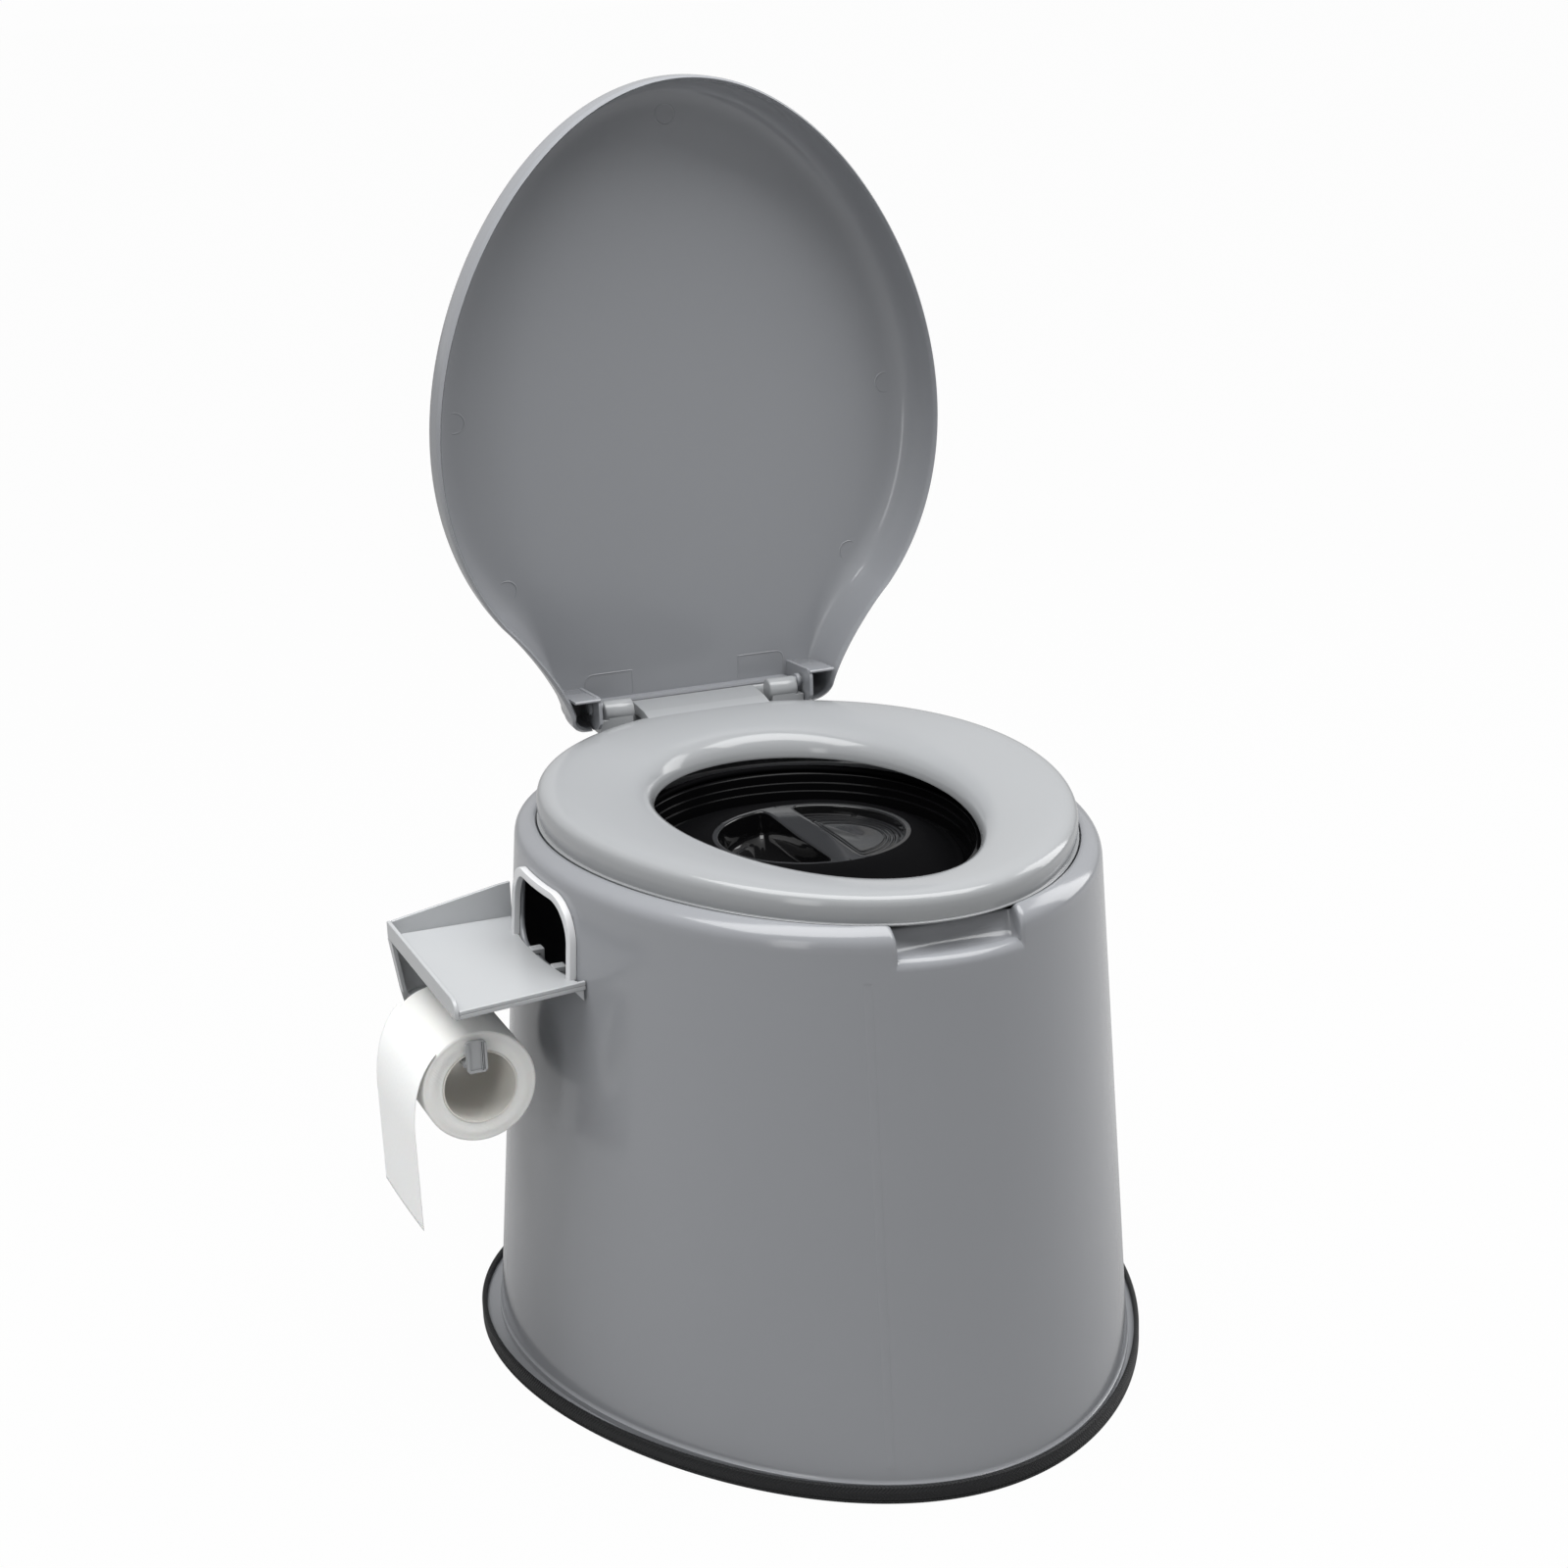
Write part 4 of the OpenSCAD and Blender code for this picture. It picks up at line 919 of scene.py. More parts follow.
# %% Ears and pins
web = np.vstack([[[13, 26.2], [-7, 26.2]], arc((-4.2, -10.5), 6, 180, 270, 10),
                 rounded([[7, -16.5], [12, -11], [14.6, -2], [14.8, 4]], 2, 3)]) * MM
shelf = rounded([[-10.2, -16], [-8.1, -16], [-4.5, 25.8], [-6.6, 25.8]], 0.5, 2, closed=True) * MM
pin = np.array([
    [50, 2.4], [50.6, 2.9], [68.6, 2.9], [68.7, 4.1], [69.2, 4.5], [71.0, 4.5], [71.5, 4.1], [71.6, 2.9],
    [75.1, 2.9], [75.2, 4.2], [75.6, 4.5], [76.8, 4.5], [77.4, 3.6]]) * MM
for side, word in SIDES:
    flat_parts = [prism(web, "x", *sorted(side * np.array([72.6, 75]) * MM)),
                  prism(shelf, "x", *sorted(side * np.array([73, 90.6]) * MM))]
    ear_parts = [(place_on_hinge(points), faces) for points, faces in flat_parts]
    ear = solid(f"lid_ear_{word}_moulding", *ear_parts, bevel=0.5 * MM)
    finish_with(ear, shell_plastic, "hinge_grey", "lid", f"lid_ear_{word}")
    hinge_pin = solid(f"pin_{word}", turned(pin * np.array([side, 1]), hinge_y, hinge_z))
    finish_with(hinge_pin, hinge_plastic, "hinge_grey", "lid", f"hinge_pin_{word}")

# %% [markdown]
# The lid's inside shows where the mould was: a fine rectangle over each barrel, where a slide drew out
# to free the hinge, and small rings where pins pushed the lid off the mould. Each is a raised line
# only a few tenths of a millimetre high: a small half-round section carried along its path.

# %% Mould lines
def mould_line(name, path, height, closed):
    """A fine raised line on the panel: path gives (u, v) points, and the section is a low half circle."""
    spread_out, sunk = 1.3, 0.1 * MM
    step = np.roll(path, -1, 0) - np.roll(path, 1, 0) if closed else np.gradient(path, axis=0)
    side = np.stack([step[:, 1], -step[:, 0]], axis=1) / np.linalg.norm(step, axis=1)[:, None]
    rows = [np.column_stack([path + side * height * spread_out * np.cos(a),
                             domed(path) + sunk - height * np.sin(a)]) for a in np.linspace(0, np.pi, 5)]
    line = surface(name, place_on_hinge(np.array(rows)), wrap_rows=True, wrap_columns=closed, crease=80)
    finish_with(line, shell_plastic, "shell_grey", "lid")


pin_places, pin_mark_r = [(0, -372), (148, -190), (-148, -190), (120, -78), (-120, -78)], 6.5
for number, place in enumerate(pin_places, 1):
    mould_line(f"lid_pin_mark_{number}", arc(place, pin_mark_r, 0, 360, 49)[:-1] * MM, 0.42 * MM, True)
slide = rounded([[37.5, 1], [37.5, -14.5], [70.5, -14.5], [70.5, 1]], [0, 0.5, 6, 0], 6)
quarters = np.linspace(0, 1, 5)[:-1, None]
slide = np.vstack([mix(p, q, quarters) for p, q in zip(slide[:-1], slide[1:])])
for side, word in SIDES:
    mould_line(f"lid_slide_mark_{word}", slide * np.array([side, 1]) * MM, 0.35 * MM, False)

# %% [markdown]
# ## The bucket
# The bucket is a deep black cup with an egg outline. Its mouth climbs in small steps, each of which
# catches a thin line of light, to a rolled rim that hangs on the shell's shelf.

# %% Bucket
bucket_low, bucket_high = corners("bucket")
rim_z = bucket_high[2] - 2.4 * MM
lid_seat_z = seat_low[2] - 23.8 * MM
foot_in = -26
steps_in = [[5.6, 0], [5.65, 7.2], [6.5, 7.4], [6.55, 12.4], [7.3, 12.6], [7.35, 15]]
up = (np.array([bucket_low[2], rim_z, lid_seat_z]) / MM).tolist()
bucket_chain = [[foot_in, up[0]], [foot_in + 4.5, up[0] + 2], [foot_in + 6.5, up[0] + 8], [-2, up[2] - 4]]
bucket_chain += [[s[0] + 2.2, up[2] - 2 + s[1]] for s in steps_in]
bucket_chain += [[12.2, up[1]], [20.6, up[1]], [21.5, up[1] + 0.6], [21.5, up[1] + 1.6], [20.6, up[1] + 2.4],
                 [8.6, up[1] + 2.4], [7.5, up[1] + 1.6]]
bucket_chain += [[s[0], up[2] + s[1]] for s in steps_in[::-1]]
bucket_chain += [[-4, up[2]], [-4.4, up[2] - 4], [foot_in + 4.2, up[0] + 9], [foot_in + 1, up[0] + 3]]
bucket_chain = rounded(np.array(bucket_chain) * MM, 0.35 * MM, 3)
rows = np.column_stack([grown(mouth_egg, bucket_chain[:, 0]), bucket_chain[:, 1]])
bucket = surface("inner_bucket", egg_rings(rows, ring_turn), first_tip=[0, mouth_egg[3], bucket_low[2]],
                 last_tip=[0, mouth_egg[3], bucket_low[2] + 3 * MM], crease=50)
finish_with(bucket, bucket_plastic, "bucket_black", "bucket", "bucket")

# %% [markdown]
# The bail is one bent wire, a half oval whose ends turn inwards into two lugs on the bucket's rim. A
# tube is a circle carried along a path; smaller circles at both ends round them off.

# %% Bail and lugs
def tube(path, radius):
    """A round wire along a level path (x, y, z): rings square to the path, closed by smaller rings."""
    along = np.gradient(path, axis=0)
    along /= np.linalg.norm(along, axis=1)[:, None]
    upwards = np.array([0, 0, 1.0])
    side = np.cross(along, upwards)
    t = (np.arange(16) * TAU / 16)[:, None]
    bend = np.linspace(0, np.pi / 2, 5)[:-1]
    first = [(path[0] - along[0] * radius * np.sin(b), side[0], radius * np.cos(b)) for b in bend[::-1]]
    last = [(path[-1] + along[-1] * radius * np.sin(b), side[-1], radius * np.cos(b)) for b in bend]
    rings = first + [(p, s, radius) for p, s in zip(path[1:-1], side[1:-1])] + last
    grid = np.array([p + r * (np.cos(t) * s + np.sin(t) * upwards) for p, s, r in rings])
    return grid, path[0] - along[0] * radius, path[-1] + along[-1] * radius


bail_low, bail_high = corners("bucket_bail")
bail_r = 2 * MM
bail_x = bail_high[0] - bail_r
bail_y = bail_low[1] + bail_r
bail_reach = bail_high[1] - bail_r - bail_y
bail_z = (bail_high[2] + bail_low[2]) / 2
bend = np.linspace(0, np.pi, 81)
loop = np.stack([bail_x * np.cos(bend), bail_y + bail_reach * np.sin(bend), bail_z + 0 * bend], axis=1)
end_x = bail_x - np.array([6.2, 3]) * MM
loop = np.vstack([[[x, bail_y, bail_z] for x in end_x], loop, [[-x, bail_y, bail_z] for x in end_x[::-1]]])
grid, tip_a, tip_b = tube(loop, bail_r)
bail = surface("bail", grid, first_tip=tip_a, last_tip=tip_b, crease=60, flip=True)
finish_with(bail, satin_black, "bucket_black", "bail", "bucket_bail")
for side, word in SIDES:
    low, high = corners(f"bucket_lug_{word}")
    sides = [[low[1], low[2]], [high[1], low[2]], [high[1], high[2]], [low[1], high[2]]]
    outline = rounded(sides, 1.4 * MM, closed=True)
    lug = solid(f"lug_{word}", prism(outline, "x", low[0], high[0]), bevel=0.35 * MM)
    finish_with(lug, satin_black, "bucket_black", "bucket", f"bucket_lug_{word}")

# %% [markdown]
# ## The bucket's lid
# The lid is a dark rim that climbs to a round flat top, with two D-shaped wells and a grip bar
# between them. Each half of the top is a grid of rays from the middle of its well: a ray crosses the
# flat top, turns over a soft edge and runs down into the well. Where two boundaries meet, such as the
# bar's side and the round wall, a soft minimum of the two distances rounds the corner.

# %% Bucket lid rim
grip_r, grip_y, rise = 60 * MM, -8 * MM, 15 * MM
top_z = lid_seat_z + 0.3 * MM + rise
grip_egg = np.array([grip_r, grip_r, 0, grip_y])
outside = through([[0, 2.2], [0.03, 2.7], [0.1, 3.1], [0.3, 6.5], [0.55, 11], [0.8, 14.3], [0.93, 14.95],
                   [1, 15]], 6)
inside_low = np.array([[1, 12.6], [0.8, 12], [0.55, 8.6], [0.3, 4], [0.12, 0.6], [0.08, 0], [0, 0]])
rim_chain = np.vstack([outside, inside_low])
rim_eggs = mix(mouth_egg, grip_egg, rim_chain[:, :1])
rim_part = egg_rings(np.concatenate([rim_eggs, top_z - rise + rim_chain[:, 1:] * MM], axis=1), ring_turn)
print("bucket lid rim:", rim_part.shape)

# %% [markdown]
# The left well is a deep bowl, the right one a shallow dish with fine arched steps. Both are given as
# a soft edge, a short wall and then a floor from the wall to the middle.

# %% Bucket lid wells
bar_half = 8.5 * MM


def soft_min(a, b, power):
    """A smooth lower bound of two positive distances, equal to the smaller one away from where they cross."""
    return (a ** -power + b ** -power) ** (-1 / power)


def well_rays(side, centre_x, inset, bar_side, power):
    """Distances from the well's middle to the bar's side and to the round wall, as one soft outline."""
    phi = np.arange(200) * TAU / 200
    dx, dy = np.cos(phi), np.sin(phi)
    to_bar = np.where(dx < -1e-6, (centre_x - bar_side) / np.maximum(-dx, 1e-6), 1.0)
    r = grip_r - inset
    along = centre_x * dx
    to_wall = -along + np.sqrt(along**2 + r**2 - centre_x**2)
    reach = soft_min(to_bar, to_wall, power) if power else np.minimum(to_bar, to_wall)
    return side * dx, dy, reach


def well_half(side, edge, floor):
    """Rings of one half of the top; floor holds [share of the way from the edge to the middle, depth]."""
    centre_x = 31 * MM
    dx, dy, outer = well_rays(side, centre_x, 0, 0, None)
    _, _, lip = well_rays(side, centre_x, 2.4 * MM, bar_half, 16)
    reach = np.concatenate([np.outer(np.linspace(1, 0, 5), outer - lip) + lip,
                            lip - edge[:, :1], (lip - edge[-1, 0]) * (1 - floor[:, :1])])
    depth = np.concatenate([np.zeros(5), edge[:, 1], floor[:, 1]])[:, None]
    grid = np.stack([side * centre_x + reach * dx, grip_y + reach * dy, top_z - depth + 0 * reach], axis=-1)
    return grid, np.array([side * centre_x, grip_y, top_z - depth[-1, 0]])


soft_edge = arc((0, 1.3), 1.3, -90, 0, 6)[1:] * MM
bowl_wall = np.stack([np.linspace(1.4, 2.4, 6), np.linspace(3, 12, 6)], axis=1) * MM
bowl_turn = np.linspace(0, np.pi / 2, 22)[1:-1]
bowl = np.stack([1 - np.cos(bowl_turn) ** 0.9, (13 + 10.6 * np.sin(bowl_turn)) * MM], axis=1)
flat_wall = np.stack([np.linspace(1.35, 1.6, 4), np.linspace(2, 5, 4)], axis=1) * MM
rib_share = np.linspace(0.02, 0.94, 70)
rib_wave = np.where(rib_share < 0.5, 0.55 * np.maximum(np.sin(rib_share * TAU * 10), 0) ** 0.5, 0)
plate = np.stack([rib_share, (5.6 + 1.4 * rib_share - rib_wave) * MM], axis=1)
left_half, left_tip = well_half(-1, np.vstack([soft_edge, bowl_wall]), bowl)
right_half, right_tip = well_half(1, np.vstack([soft_edge, flat_wall]), plate)
lid_rim = surface("bucket_lid_rim", rim_part, crease=50)
left_well = surface("bucket_lid_left", left_half, last_tip=left_tip, crease=50, flip=True)
right_well = surface("bucket_lid_right", right_half, last_tip=right_tip, crease=50)
finish_with(lid_rim, satin_black, "bucket_black", "bucket_cover", "bucket_lid")
finish_with(left_well, well_black, "bucket_black", "bucket_cover")
finish_with(right_well, well_black, "bucket_black", "bucket_cover")

# %% [markdown]
# A plain square frame stands on the dish of the right well. Its path is a small rounded square, and
# its section is carried round by moving every point of the path away from the middle.

# %% Square frame on the right well
mark_path = rounded([[42, 25.5], [51, 25.5], [51, 34], [42, 34]], 1.2, 4, closed=True) * MM
mark_middle = mark_path.mean(axis=0)
mark_reach = np.linalg.norm(mark_path - mark_middle, axis=1)[:, None]
mark_section = np.array([[-0.9, -1.5], [-0.8, 0.5], [-0.5, 0.9], [0.2, 0.9], [0.5, 0.5], [0.6, -1.5]]) * MM
dish_z = top_z - 5.8 * MM
mark_rows = [np.column_stack([mix(mark_path, mark_middle, inwards / mark_reach),
                              np.full(len(mark_path), dish_z + height)]) for inwards, height in mark_section]
plate_mark = surface("plate_mark", np.array(mark_rows), crease=35)
finish_with(plate_mark, well_black, "bucket_black", "bucket_cover")

# %% [markdown]
# ## The side holder
# A light-grey arch hugs the leaning, curved wall round the hand hole, so its section has to be laid on
# the wall: wall_x gives how far out the wall is at any y and z. The arch is a chain of section points
# carried along two matching outlines, the hole's edge and the arch's outer edge.

# %% Arch on the wall
def wall_x(y, z):
    """Half width of the shell's wall at y and z: w sqrt(1 - c c) (1 - k c), with c = (centre - y) / a."""
    e = wall_egg(z)
    c = (e[..., 3] - y) / e[..., 1]
    return e[..., 0] * np.sqrt(1 - c * c) * (1 - e[..., 2] * c)


def arch_path(y0, y1, top, r, foot):
    """An arch as (n, 2) points: up the front, round two corners of radius r and down the back."""
    straight = 12
    leg_z = np.linspace(foot, top - r, straight + 1)
    up_leg = np.stack([np.full(straight, y0), leg_z[:-1]], axis=1)
    first = arc((y0 + r, top - r), r, 180, 90, 20)
    over = np.stack([np.linspace(y0 + r, y1 - r, straight + 2)[1:-1], np.full(straight, top)], axis=1)
    second = arc((y1 - r, top - r), r, 90, 0, 20)
    down_leg = np.stack([np.full(straight, y1), leg_z[::-1][1:]], axis=1)
    return np.concatenate([up_leg, first, over, second, down_leg])


arch_front, arch_top, arch_width = frame_low[1] + 2.6 * MM, frame_high[2] + 3.6 * MM, 4.6 * MM
inner_r, outer_r, proud = 22 * MM, 26 * MM, 4.2 * MM
inner_arch = arch_path(arch_front + arch_width, arch_inner_back, arch_top - arch_width, inner_r, tray_top)
outer_arch = arch_path(arch_front, frame_high[1], arch_top, outer_r, tray_top)
arch_section = rounded([[0, 0.07], [0, 1], [1, 1], [1, 0.07]], [0, 0.13, 0.13, 0], 5)
share, out = arch_section[:, 0][:, None, None], arch_section[:, 1] * proud
arch_yz = mix(inner_arch[None], outer_arch[None], share)
arch_x = -wall_x(arch_yz[..., 0], arch_yz[..., 1]) - out[:, None]
arch_grid = np.concatenate([arch_x[..., None], arch_yz], axis=-1)
arch = surface("holder_arch", arch_grid, wrap_rows=True, wrap_columns=False, crease=40, flip=True)
# The arch's near-white colour is a painted reflection.
finish_with(arch, arch_plastic_painted_reflection, "holder_grey", "holder", "holder_back_frame")

# %% [markdown]
# The tray is made of flat walls, so its parts are outlines carried straight up or along. A small
# bevel takes the knife edge off each of them, which is what catches the light on real mouldings.

# %% Tray
plate_t, into_wall = 2.6 * MM, 1 * MM
wall_low, wall_high = corners("holder_outer_wall")
tray_front, tray_back, tray_out = wall_low[1], wall_high[1], wall_low[0]
tray_in = tray_out + plate_t
rim_z_tray = wall_high[2]
lip_y, back_y, lip_height = tray_front + 13 * MM, tray_back - plate_t, 2.5 * MM
edge_y = np.linspace(lip_y, back_y, 40)
edge_x = -wall_x(edge_y, tray_top) - into_wall
floor_outline = np.vstack([[[tray_in, back_y], [tray_in, tray_front]], np.stack([edge_x, edge_y], axis=1)])
back_x = -wall_x(tray_back, tray_top) - into_wall
back_wall = [[tray_in, tray_under], [back_x, tray_under], [back_x, tray_top + 22 * MM],
             [back_x - 8 * MM, tray_top + 21 * MM], [tray_in, rim_z_tray]]
lip = [[tray_in, tray_front], [edge_x[0], lip_y],
       [edge_x[0], lip_y + plate_t], [tray_in, tray_front + plate_t]]
rib_foot, ribs = tray_under - 7 * MM, []
for y in (lip_y, back_y - plate_t):
    x_low, x_out = -wall_x(y + plate_t, rib_foot) - into_wall, -wall_x(y, tray_top) - 8 * MM
    ribs.append(prism([[x_low, rib_foot], [x_low, tray_under], [x_out, tray_under]], "y", y, y + plate_t))
tray_parts = [prism(floor_outline, "z", tray_under, tray_top), prism(back_wall, "y", back_y, tray_back),
              prism(lip, "z", tray_top, tray_top + lip_height)]
tray = solid("tray", *tray_parts, *ribs, bevel=0.6 * MM)
finish_with(tray, holder_plastic, "holder_grey", "holder", "holder_tray")

# %% [markdown]
# The long outer wall has a quarter round at its front end. The hooks are L-shaped: they reach through
# the hand hole and hang down behind the shell's wall.

# %% Outer wall and hooks
r = rim_z_tray - tray_top
long_wall = np.vstack([[[tray_back, tray_under], [tray_back, rim_z_tray]],
                       arc((tray_front + r, tray_top), r, 90, 180, 14), [[tray_front, tray_under]]])
outer_wall = solid("tray_outer_wall", prism(long_wall, "x", tray_out, tray_in), bevel=0.7 * MM)
finish_with(outer_wall, holder_plastic, "holder_grey", "holder", "holder_outer_wall")
hook_width, hook_t, hook_drop = 8 * MM, 3 * MM, 12 * MM
hook_parts = []
for y in (-27 * MM, 8 * MM):
    face = -wall_x(y + hook_width / 2, tray_under)
    hook_in, hook_top, hook_tip = face + wall + 1 * MM, tray_under + hook_t, tray_under - hook_drop
    hook = [[face - into_wall, tray_under], [hook_in, tray_under], [hook_in, hook_tip],
            [hook_in + hook_t, hook_tip], [hook_in + hook_t, hook_top], [face - into_wall, hook_top]]
    hook_parts.append(prism(hook, "y", y, y + hook_width))
hooks = solid("hooks", *hook_parts, bevel=0.5 * MM)
finish_with(hooks, holder_plastic, "holder_grey", "holder", "holder_hooks")

# %% [markdown]
# The arm is a leg at the tray's back, with a flange that stiffens it, a bar bent to the core's round
# that carries the roll, and an upturned tab at the front with raised rims.

# %% Roll arm
roll_x, roll_z = roll_centre[0], roll_centre[2]
roll_low, roll_high = corners("paper_roll")
core_low, core_high = corners("roll_core")
core_r, core_t = (core_high[2] - core_low[2]) / 2, 0.8 * MM
roll_r = (roll_high[2] - roll_low[2]) / 2
arm_x, arm_half, arm_t = roll_x - 2 * MM, 7 * MM, 2.6 * MM
arm_left, arm_right = arm_x - arm_half, arm_x + arm_half
arm_top = roll_z + core_r - core_t - 2.2 * MM
arm_foot = arm_top - 9 * MM
leg = [[tray_out, tray_under], [arm_left - 4 * MM, arm_top], [arm_left - 2 * MM, arm_foot],
       [arm_right, arm_foot], [arm_right, tray_under]]
flange = [[tray_out, tray_under], [arm_left - 4 * MM, arm_top], [arm_left - 1.8 * MM, arm_top],
          [tray_out + 2.2 * MM, tray_under]]
bar_x = np.linspace(arm_left, arm_right, 16)
bar_top = roll_z + np.sqrt((arm_top - roll_z) ** 2 - (bar_x - roll_x) ** 2)
bar_under = roll_z + np.sqrt((arm_top - arm_t - roll_z) ** 2 - (bar_x - roll_x) ** 2)
bar = np.vstack([np.stack([bar_x, bar_under], axis=1), np.stack([bar_x, bar_top], axis=1)[::-1]])
front_y = roll_low[1] - 1.5 * MM
tab_front = front_y - arm_t


def on_tab(x0, z0, x1, z1, r, steps):
    """A rectangle with round corners on the tab, its sides in mm from the top of the bar's middle."""
    x0, x1, z0, z1 = arm_x + x0 * MM, arm_x + x1 * MM, arm_top + z0 * MM, arm_top + z1 * MM
    return round_corners(x0, z0, x1, z1, r * MM, steps)


tab_rims = [prism(on_tab(*sides, 0.7, 4), "y", tab_front - 1.1 * MM, tab_front + 0.5 * MM)
            for sides in ((-6, -7, -4.4, 10), (2.6, -7, 3.8, 10), (4.6, -7, 6, 10), (-5, -8, 5, -6.4))]
arm_parts = [prism(leg, "y", back_y, tray_back), prism(flange, "y", tray_back - 9 * MM, back_y),
             prism(bar, "y", front_y, back_y), prism(on_tab(-6, -8, 6, 11, 2.6, 10), "y", tab_front, front_y)]
arm = solid("roll_arm_moulding", *arm_parts, *tab_rims, bevel=0.4 * MM)
finish_with(arm, holder_plastic, "holder_grey", "holder", "roll_arm")

# %% [markdown]
# ## The paper
# The roll is a turned ring with softened edges; its end faces show the layers. Its loose end is a
# thin sheet: a cubic curve leaves the roll and falls into a straight hanging part, carried across
# the roll's width with a little bulge, and its lower edge is torn slightly askew.

# %% Paper roll and core
def ring_about_y(name, chain, crease):
    """A closed chain of [radius, y] carried round the roll's own axis."""
    t = np.arange(160) * TAU / 160
    r, y = chain[:, :1], chain[:, 1:]
    grid = np.stack([roll_x + r * np.sin(t), y + 0 * t, roll_z + r * np.cos(t)], axis=-1)
    return surface(name, grid, wrap_rows=True, crease=crease)


y0, y1 = roll_low[1], roll_high[1]
face_r = np.linspace(core_r + 1.2 * MM, roll_r - 1.6 * MM, 24)
sag = 0.21 * MM * np.sin((face_r - core_r) / (roll_r - core_r) * np.pi * 3)
front_face = np.stack([face_r, y0 + 0.4 * MM + sag], axis=1)
back_face = np.stack([face_r, y1 - 0.4 * MM - sag], axis=1)[::-1]
front_bore = [[core_r, y0 + 1.0 * MM], [core_r + 0.4 * MM, y0 + 0.5 * MM]]
back_bore = [[core_r + 0.4 * MM, y1 - 0.5 * MM], [core_r, y1 - 1.0 * MM]]
outer_face = [[roll_r - 0.6 * MM, y0 + 0.7 * MM], [roll_r, y0 + 1.8 * MM],
              [roll_r, y1 - 1.8 * MM], [roll_r - 0.6 * MM, y1 - 0.7 * MM]]
roll_chain = np.vstack([front_bore, front_face, outer_face, back_face, back_bore])
paper = ring_about_y("paper_roll_layers", roll_chain, 60)
finish_with(paper, roll_end_tissue, "tissue", "roll", "paper_roll")
core_in, core_out, core_front, core_back = core_r - core_t, core_r - 0.1 * MM, y0 + 0.2 * MM, y1 - 0.2 * MM
core_chain = np.array([[core_in, core_front], [core_out, core_front],
                       [core_out, core_back], [core_in, core_back]])
core = ring_about_y("core_tube", core_chain, 40)
finish_with(core, core_board, "core_board", "roll", "roll_core")

# %% [markdown]
# The loose end's curve is a Bezier from the roll's upper left, then a straight fall. Its flat size,
# the roll's width by the curve's length, is printed.

# %% Loose end of the paper
tail_low = corners("paper_tail")[0]
gap, tail_x, lower_shift = 1.2 * MM, -40.4 * MM, 0.5 * MM
bulge, askew, paper_t = 0.5 * MM, 3 * MM, 0.35 * MM
start = (roll_r + gap) * np.array([-np.sin(np.pi / 4), np.cos(np.pi / 4)])
pulls = start + np.array([-10, -10]) * MM, np.array([tail_x - 1 * MM, -2 * MM])
fall_top, fall_end = np.array([tail_x, -30 * MM]), np.array([tail_x + 0.3 * MM, tail_low[2] - roll_z])
curve = np.vstack([bezier(start, *pulls, fall_top, np.linspace(0, 1, 40)[:, None]),
                   mix(fall_top, fall_end, np.linspace(0, 1, 30)[1:, None])])
length = distance_along(curve)
width, across, along = y1 - y0, np.linspace(0, 1, 36), (length / length[-1])[:, None]
grid = np.stack([roll_x + curve[:, :1] - bulge * np.sin(across * np.pi) * along + lower_shift * along,
                 y0 + across * width + 0 * along,
                 roll_z + curve[:, 1:] + askew * along * (1 - across)], axis=-1)
tail = surface("paper_loose_end", grid, wrap_columns=False, crease=60)
thickness = tail.modifiers.new("paper thickness", "SOLIDIFY")
thickness.thickness, thickness.offset = paper_t, 0
finish_with(tail, white_tissue, "tissue", "holder", "paper_tail")
print("loose end:", round(width * 1000), "x", round(float(length[-1]) * 1000), "mm")

# %% [markdown]
# ## Floor, light and camera
# A soft box as wide as a table hangs over the object, a little towards the camera, so the seat's top
# is the lightest place and each rounded edge under it catches one bright line. A weak sky from all
# round keeps the sides readable, and a tall lamp at the right lifts that side. To the camera the
# floor and the sky are white. In glossy plastic they show only partly, because a studio's far walls
# are dimmer than its floor sweep, and to the light they are a plain grey.

# %% Stage
GLOSSY_SHARE = 0.15  # how much of the white surroundings glossy plastic shows
FLOOR_GLOW = 0.975  # how white the floor is to the camera; the rest shows the soft shadow
SKY, FLOOR_HALF = 0.36, 60.0


def background_share(tree):
    """1 for camera and transmission rays, a set share for glossy rays and 0 for the rest."""
    ray = add(tree, "ShaderNodeLightPath").outputs
    glossy = calc(tree, "MULTIPLY", ray["Is Glossy Ray"], GLOSSY_SHARE)
    either = calc(tree, "MAXIMUM", ray["Is Camera Ray"], glossy)
    return calc(tree, "MAXIMUM", either, ray["Is Transmission Ray"])


world = bpy.data.worlds.new("pale_studio")
bpy.context.scene.world = world
world.use_nodes = True
tree = world.node_tree
plain = tree.nodes["Background"]
plain.inputs["Color"].default_value = linear("#ffffff")
plain.inputs["Strength"].default_value = SKY
seen = add(tree, "ShaderNodeBackground", Color=linear("#fdfdfd"), Strength=1.0)
blend = add(tree, "ShaderNodeMixShader", {0: background_share(tree), 1: plain.outputs[0], 2: seen.outputs[0]})
tree.links.new(blend.outputs[0], tree.nodes["World Output"].inputs["Surface"])

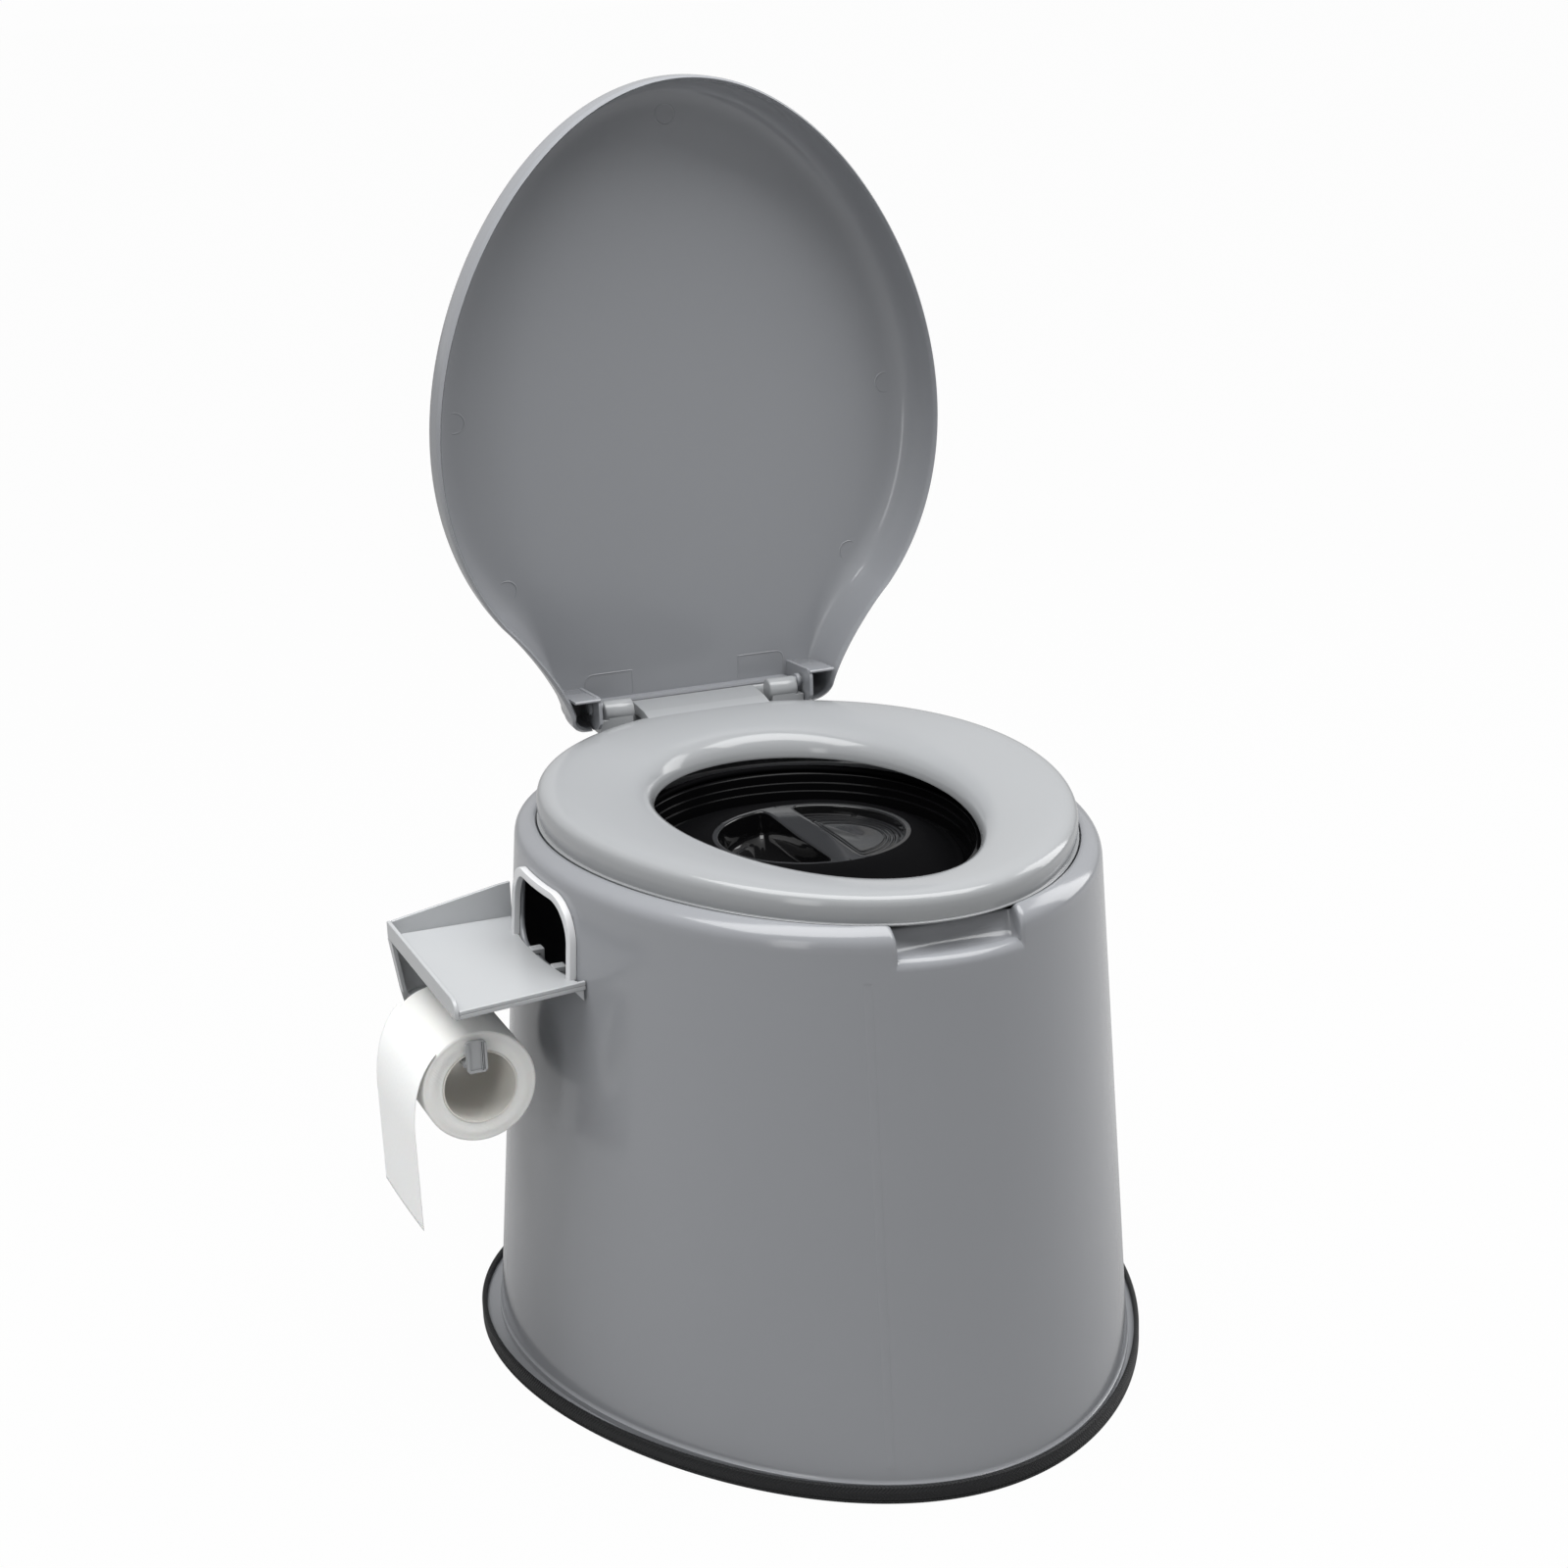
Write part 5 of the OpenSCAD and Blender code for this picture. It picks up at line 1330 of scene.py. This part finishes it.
floor_mesh = bpy.data.meshes.new("studio_floor")
floor_corners = [(x * FLOOR_HALF, y * FLOOR_HALF, 0) for x, y in ((-1, -1), (1, -1), (1, 1), (-1, 1))]
floor_mesh.from_pydata(floor_corners, [], [(0, 1, 2, 3)])
floor = add_object("studio_floor", floor_mesh)
floor_paint, tree, shader = new_material("matt_studio_floor", Base_Color=linear("#a8a8a8"), Roughness=0.9)
glow = add(tree, "ShaderNodeEmission", Color=linear("#ffffff"), Strength=1.0)
veil = calc(tree, "MULTIPLY", background_share(tree), FLOOR_GLOW)
shown = add(tree, "ShaderNodeMixShader", {0: veil, 1: shader.outputs[0], 2: glow.outputs[0]})
tree.links.new(shown.outputs[0], tree.nodes["Material Output"].inputs["Surface"])
floor.data.materials.append(floor_paint)


def lamp(name, place, aim, width, height, power):
    """A soft rectangular lamp at place, turned towards aim."""
    data = bpy.data.lights.new(name, "AREA")
    data.shape, data.size, data.size_y, data.energy = "RECTANGLE", width, height, power
    thing = bpy.data.objects.new(name, data)
    bpy.context.scene.collection.objects.link(thing)
    thing.location = place
    thing.rotation_euler = (Vector(place) - Vector(aim)).to_track_quat("Z", "Y").to_euler()
    return thing


lamp("overhead_box", (-0.12, -0.3, 2.3), (0, 0, 0.3), 3.6, 1.4, 88)
lamp("right_box", (2.1, 0.4, 1.1), (0, 0, 0.3), 1.0, 1.6, 16)
lamp("left_box", (-2.2, -1.4, 0.7), (0, 0, 0.3), 0.6, 1.6, 8)

# %% [markdown]
# The camera stands to the left of the front, a little above the seat, and looks down at the middle of
# the object. It is tilted by two degrees about its own line of sight.

# %% Camera
azimuth, elevation, roll = np.radians([-21.42, 16.66, -2.19])
distance, target = 1.6604, np.array([-0.0118, 0.0045, 0.3544])
level = np.cos(elevation)
back = np.array([np.sin(azimuth) * level, -np.cos(azimuth) * level, np.sin(elevation)])
right = np.cross([0, 0, 1.0], back)
right /= np.linalg.norm(right)
up_axis = np.cross(back, right)
turned_right = np.cos(roll) * right + np.sin(roll) * up_axis
turned_up = np.cos(roll) * up_axis - np.sin(roll) * right
camera_data = bpy.data.cameras.new("camera")
camera_data.lens, camera_data.sensor_width = 63.11025, 36
camera = bpy.data.objects.new("camera", camera_data)
bpy.context.scene.collection.objects.link(camera)
turn_matrix = Matrix([list(v) for v in np.stack([turned_right, turned_up, back], axis=1)]).to_4x4()
camera.matrix_world = Matrix.Translation(target + back * distance) @ turn_matrix
bpy.context.scene.camera = camera
bpy.context.scene.view_settings.view_transform = "Standard"
print("camera:", np.round(target + back * distance, 3), "lens:", round(camera_data.lens, 1), "mm")
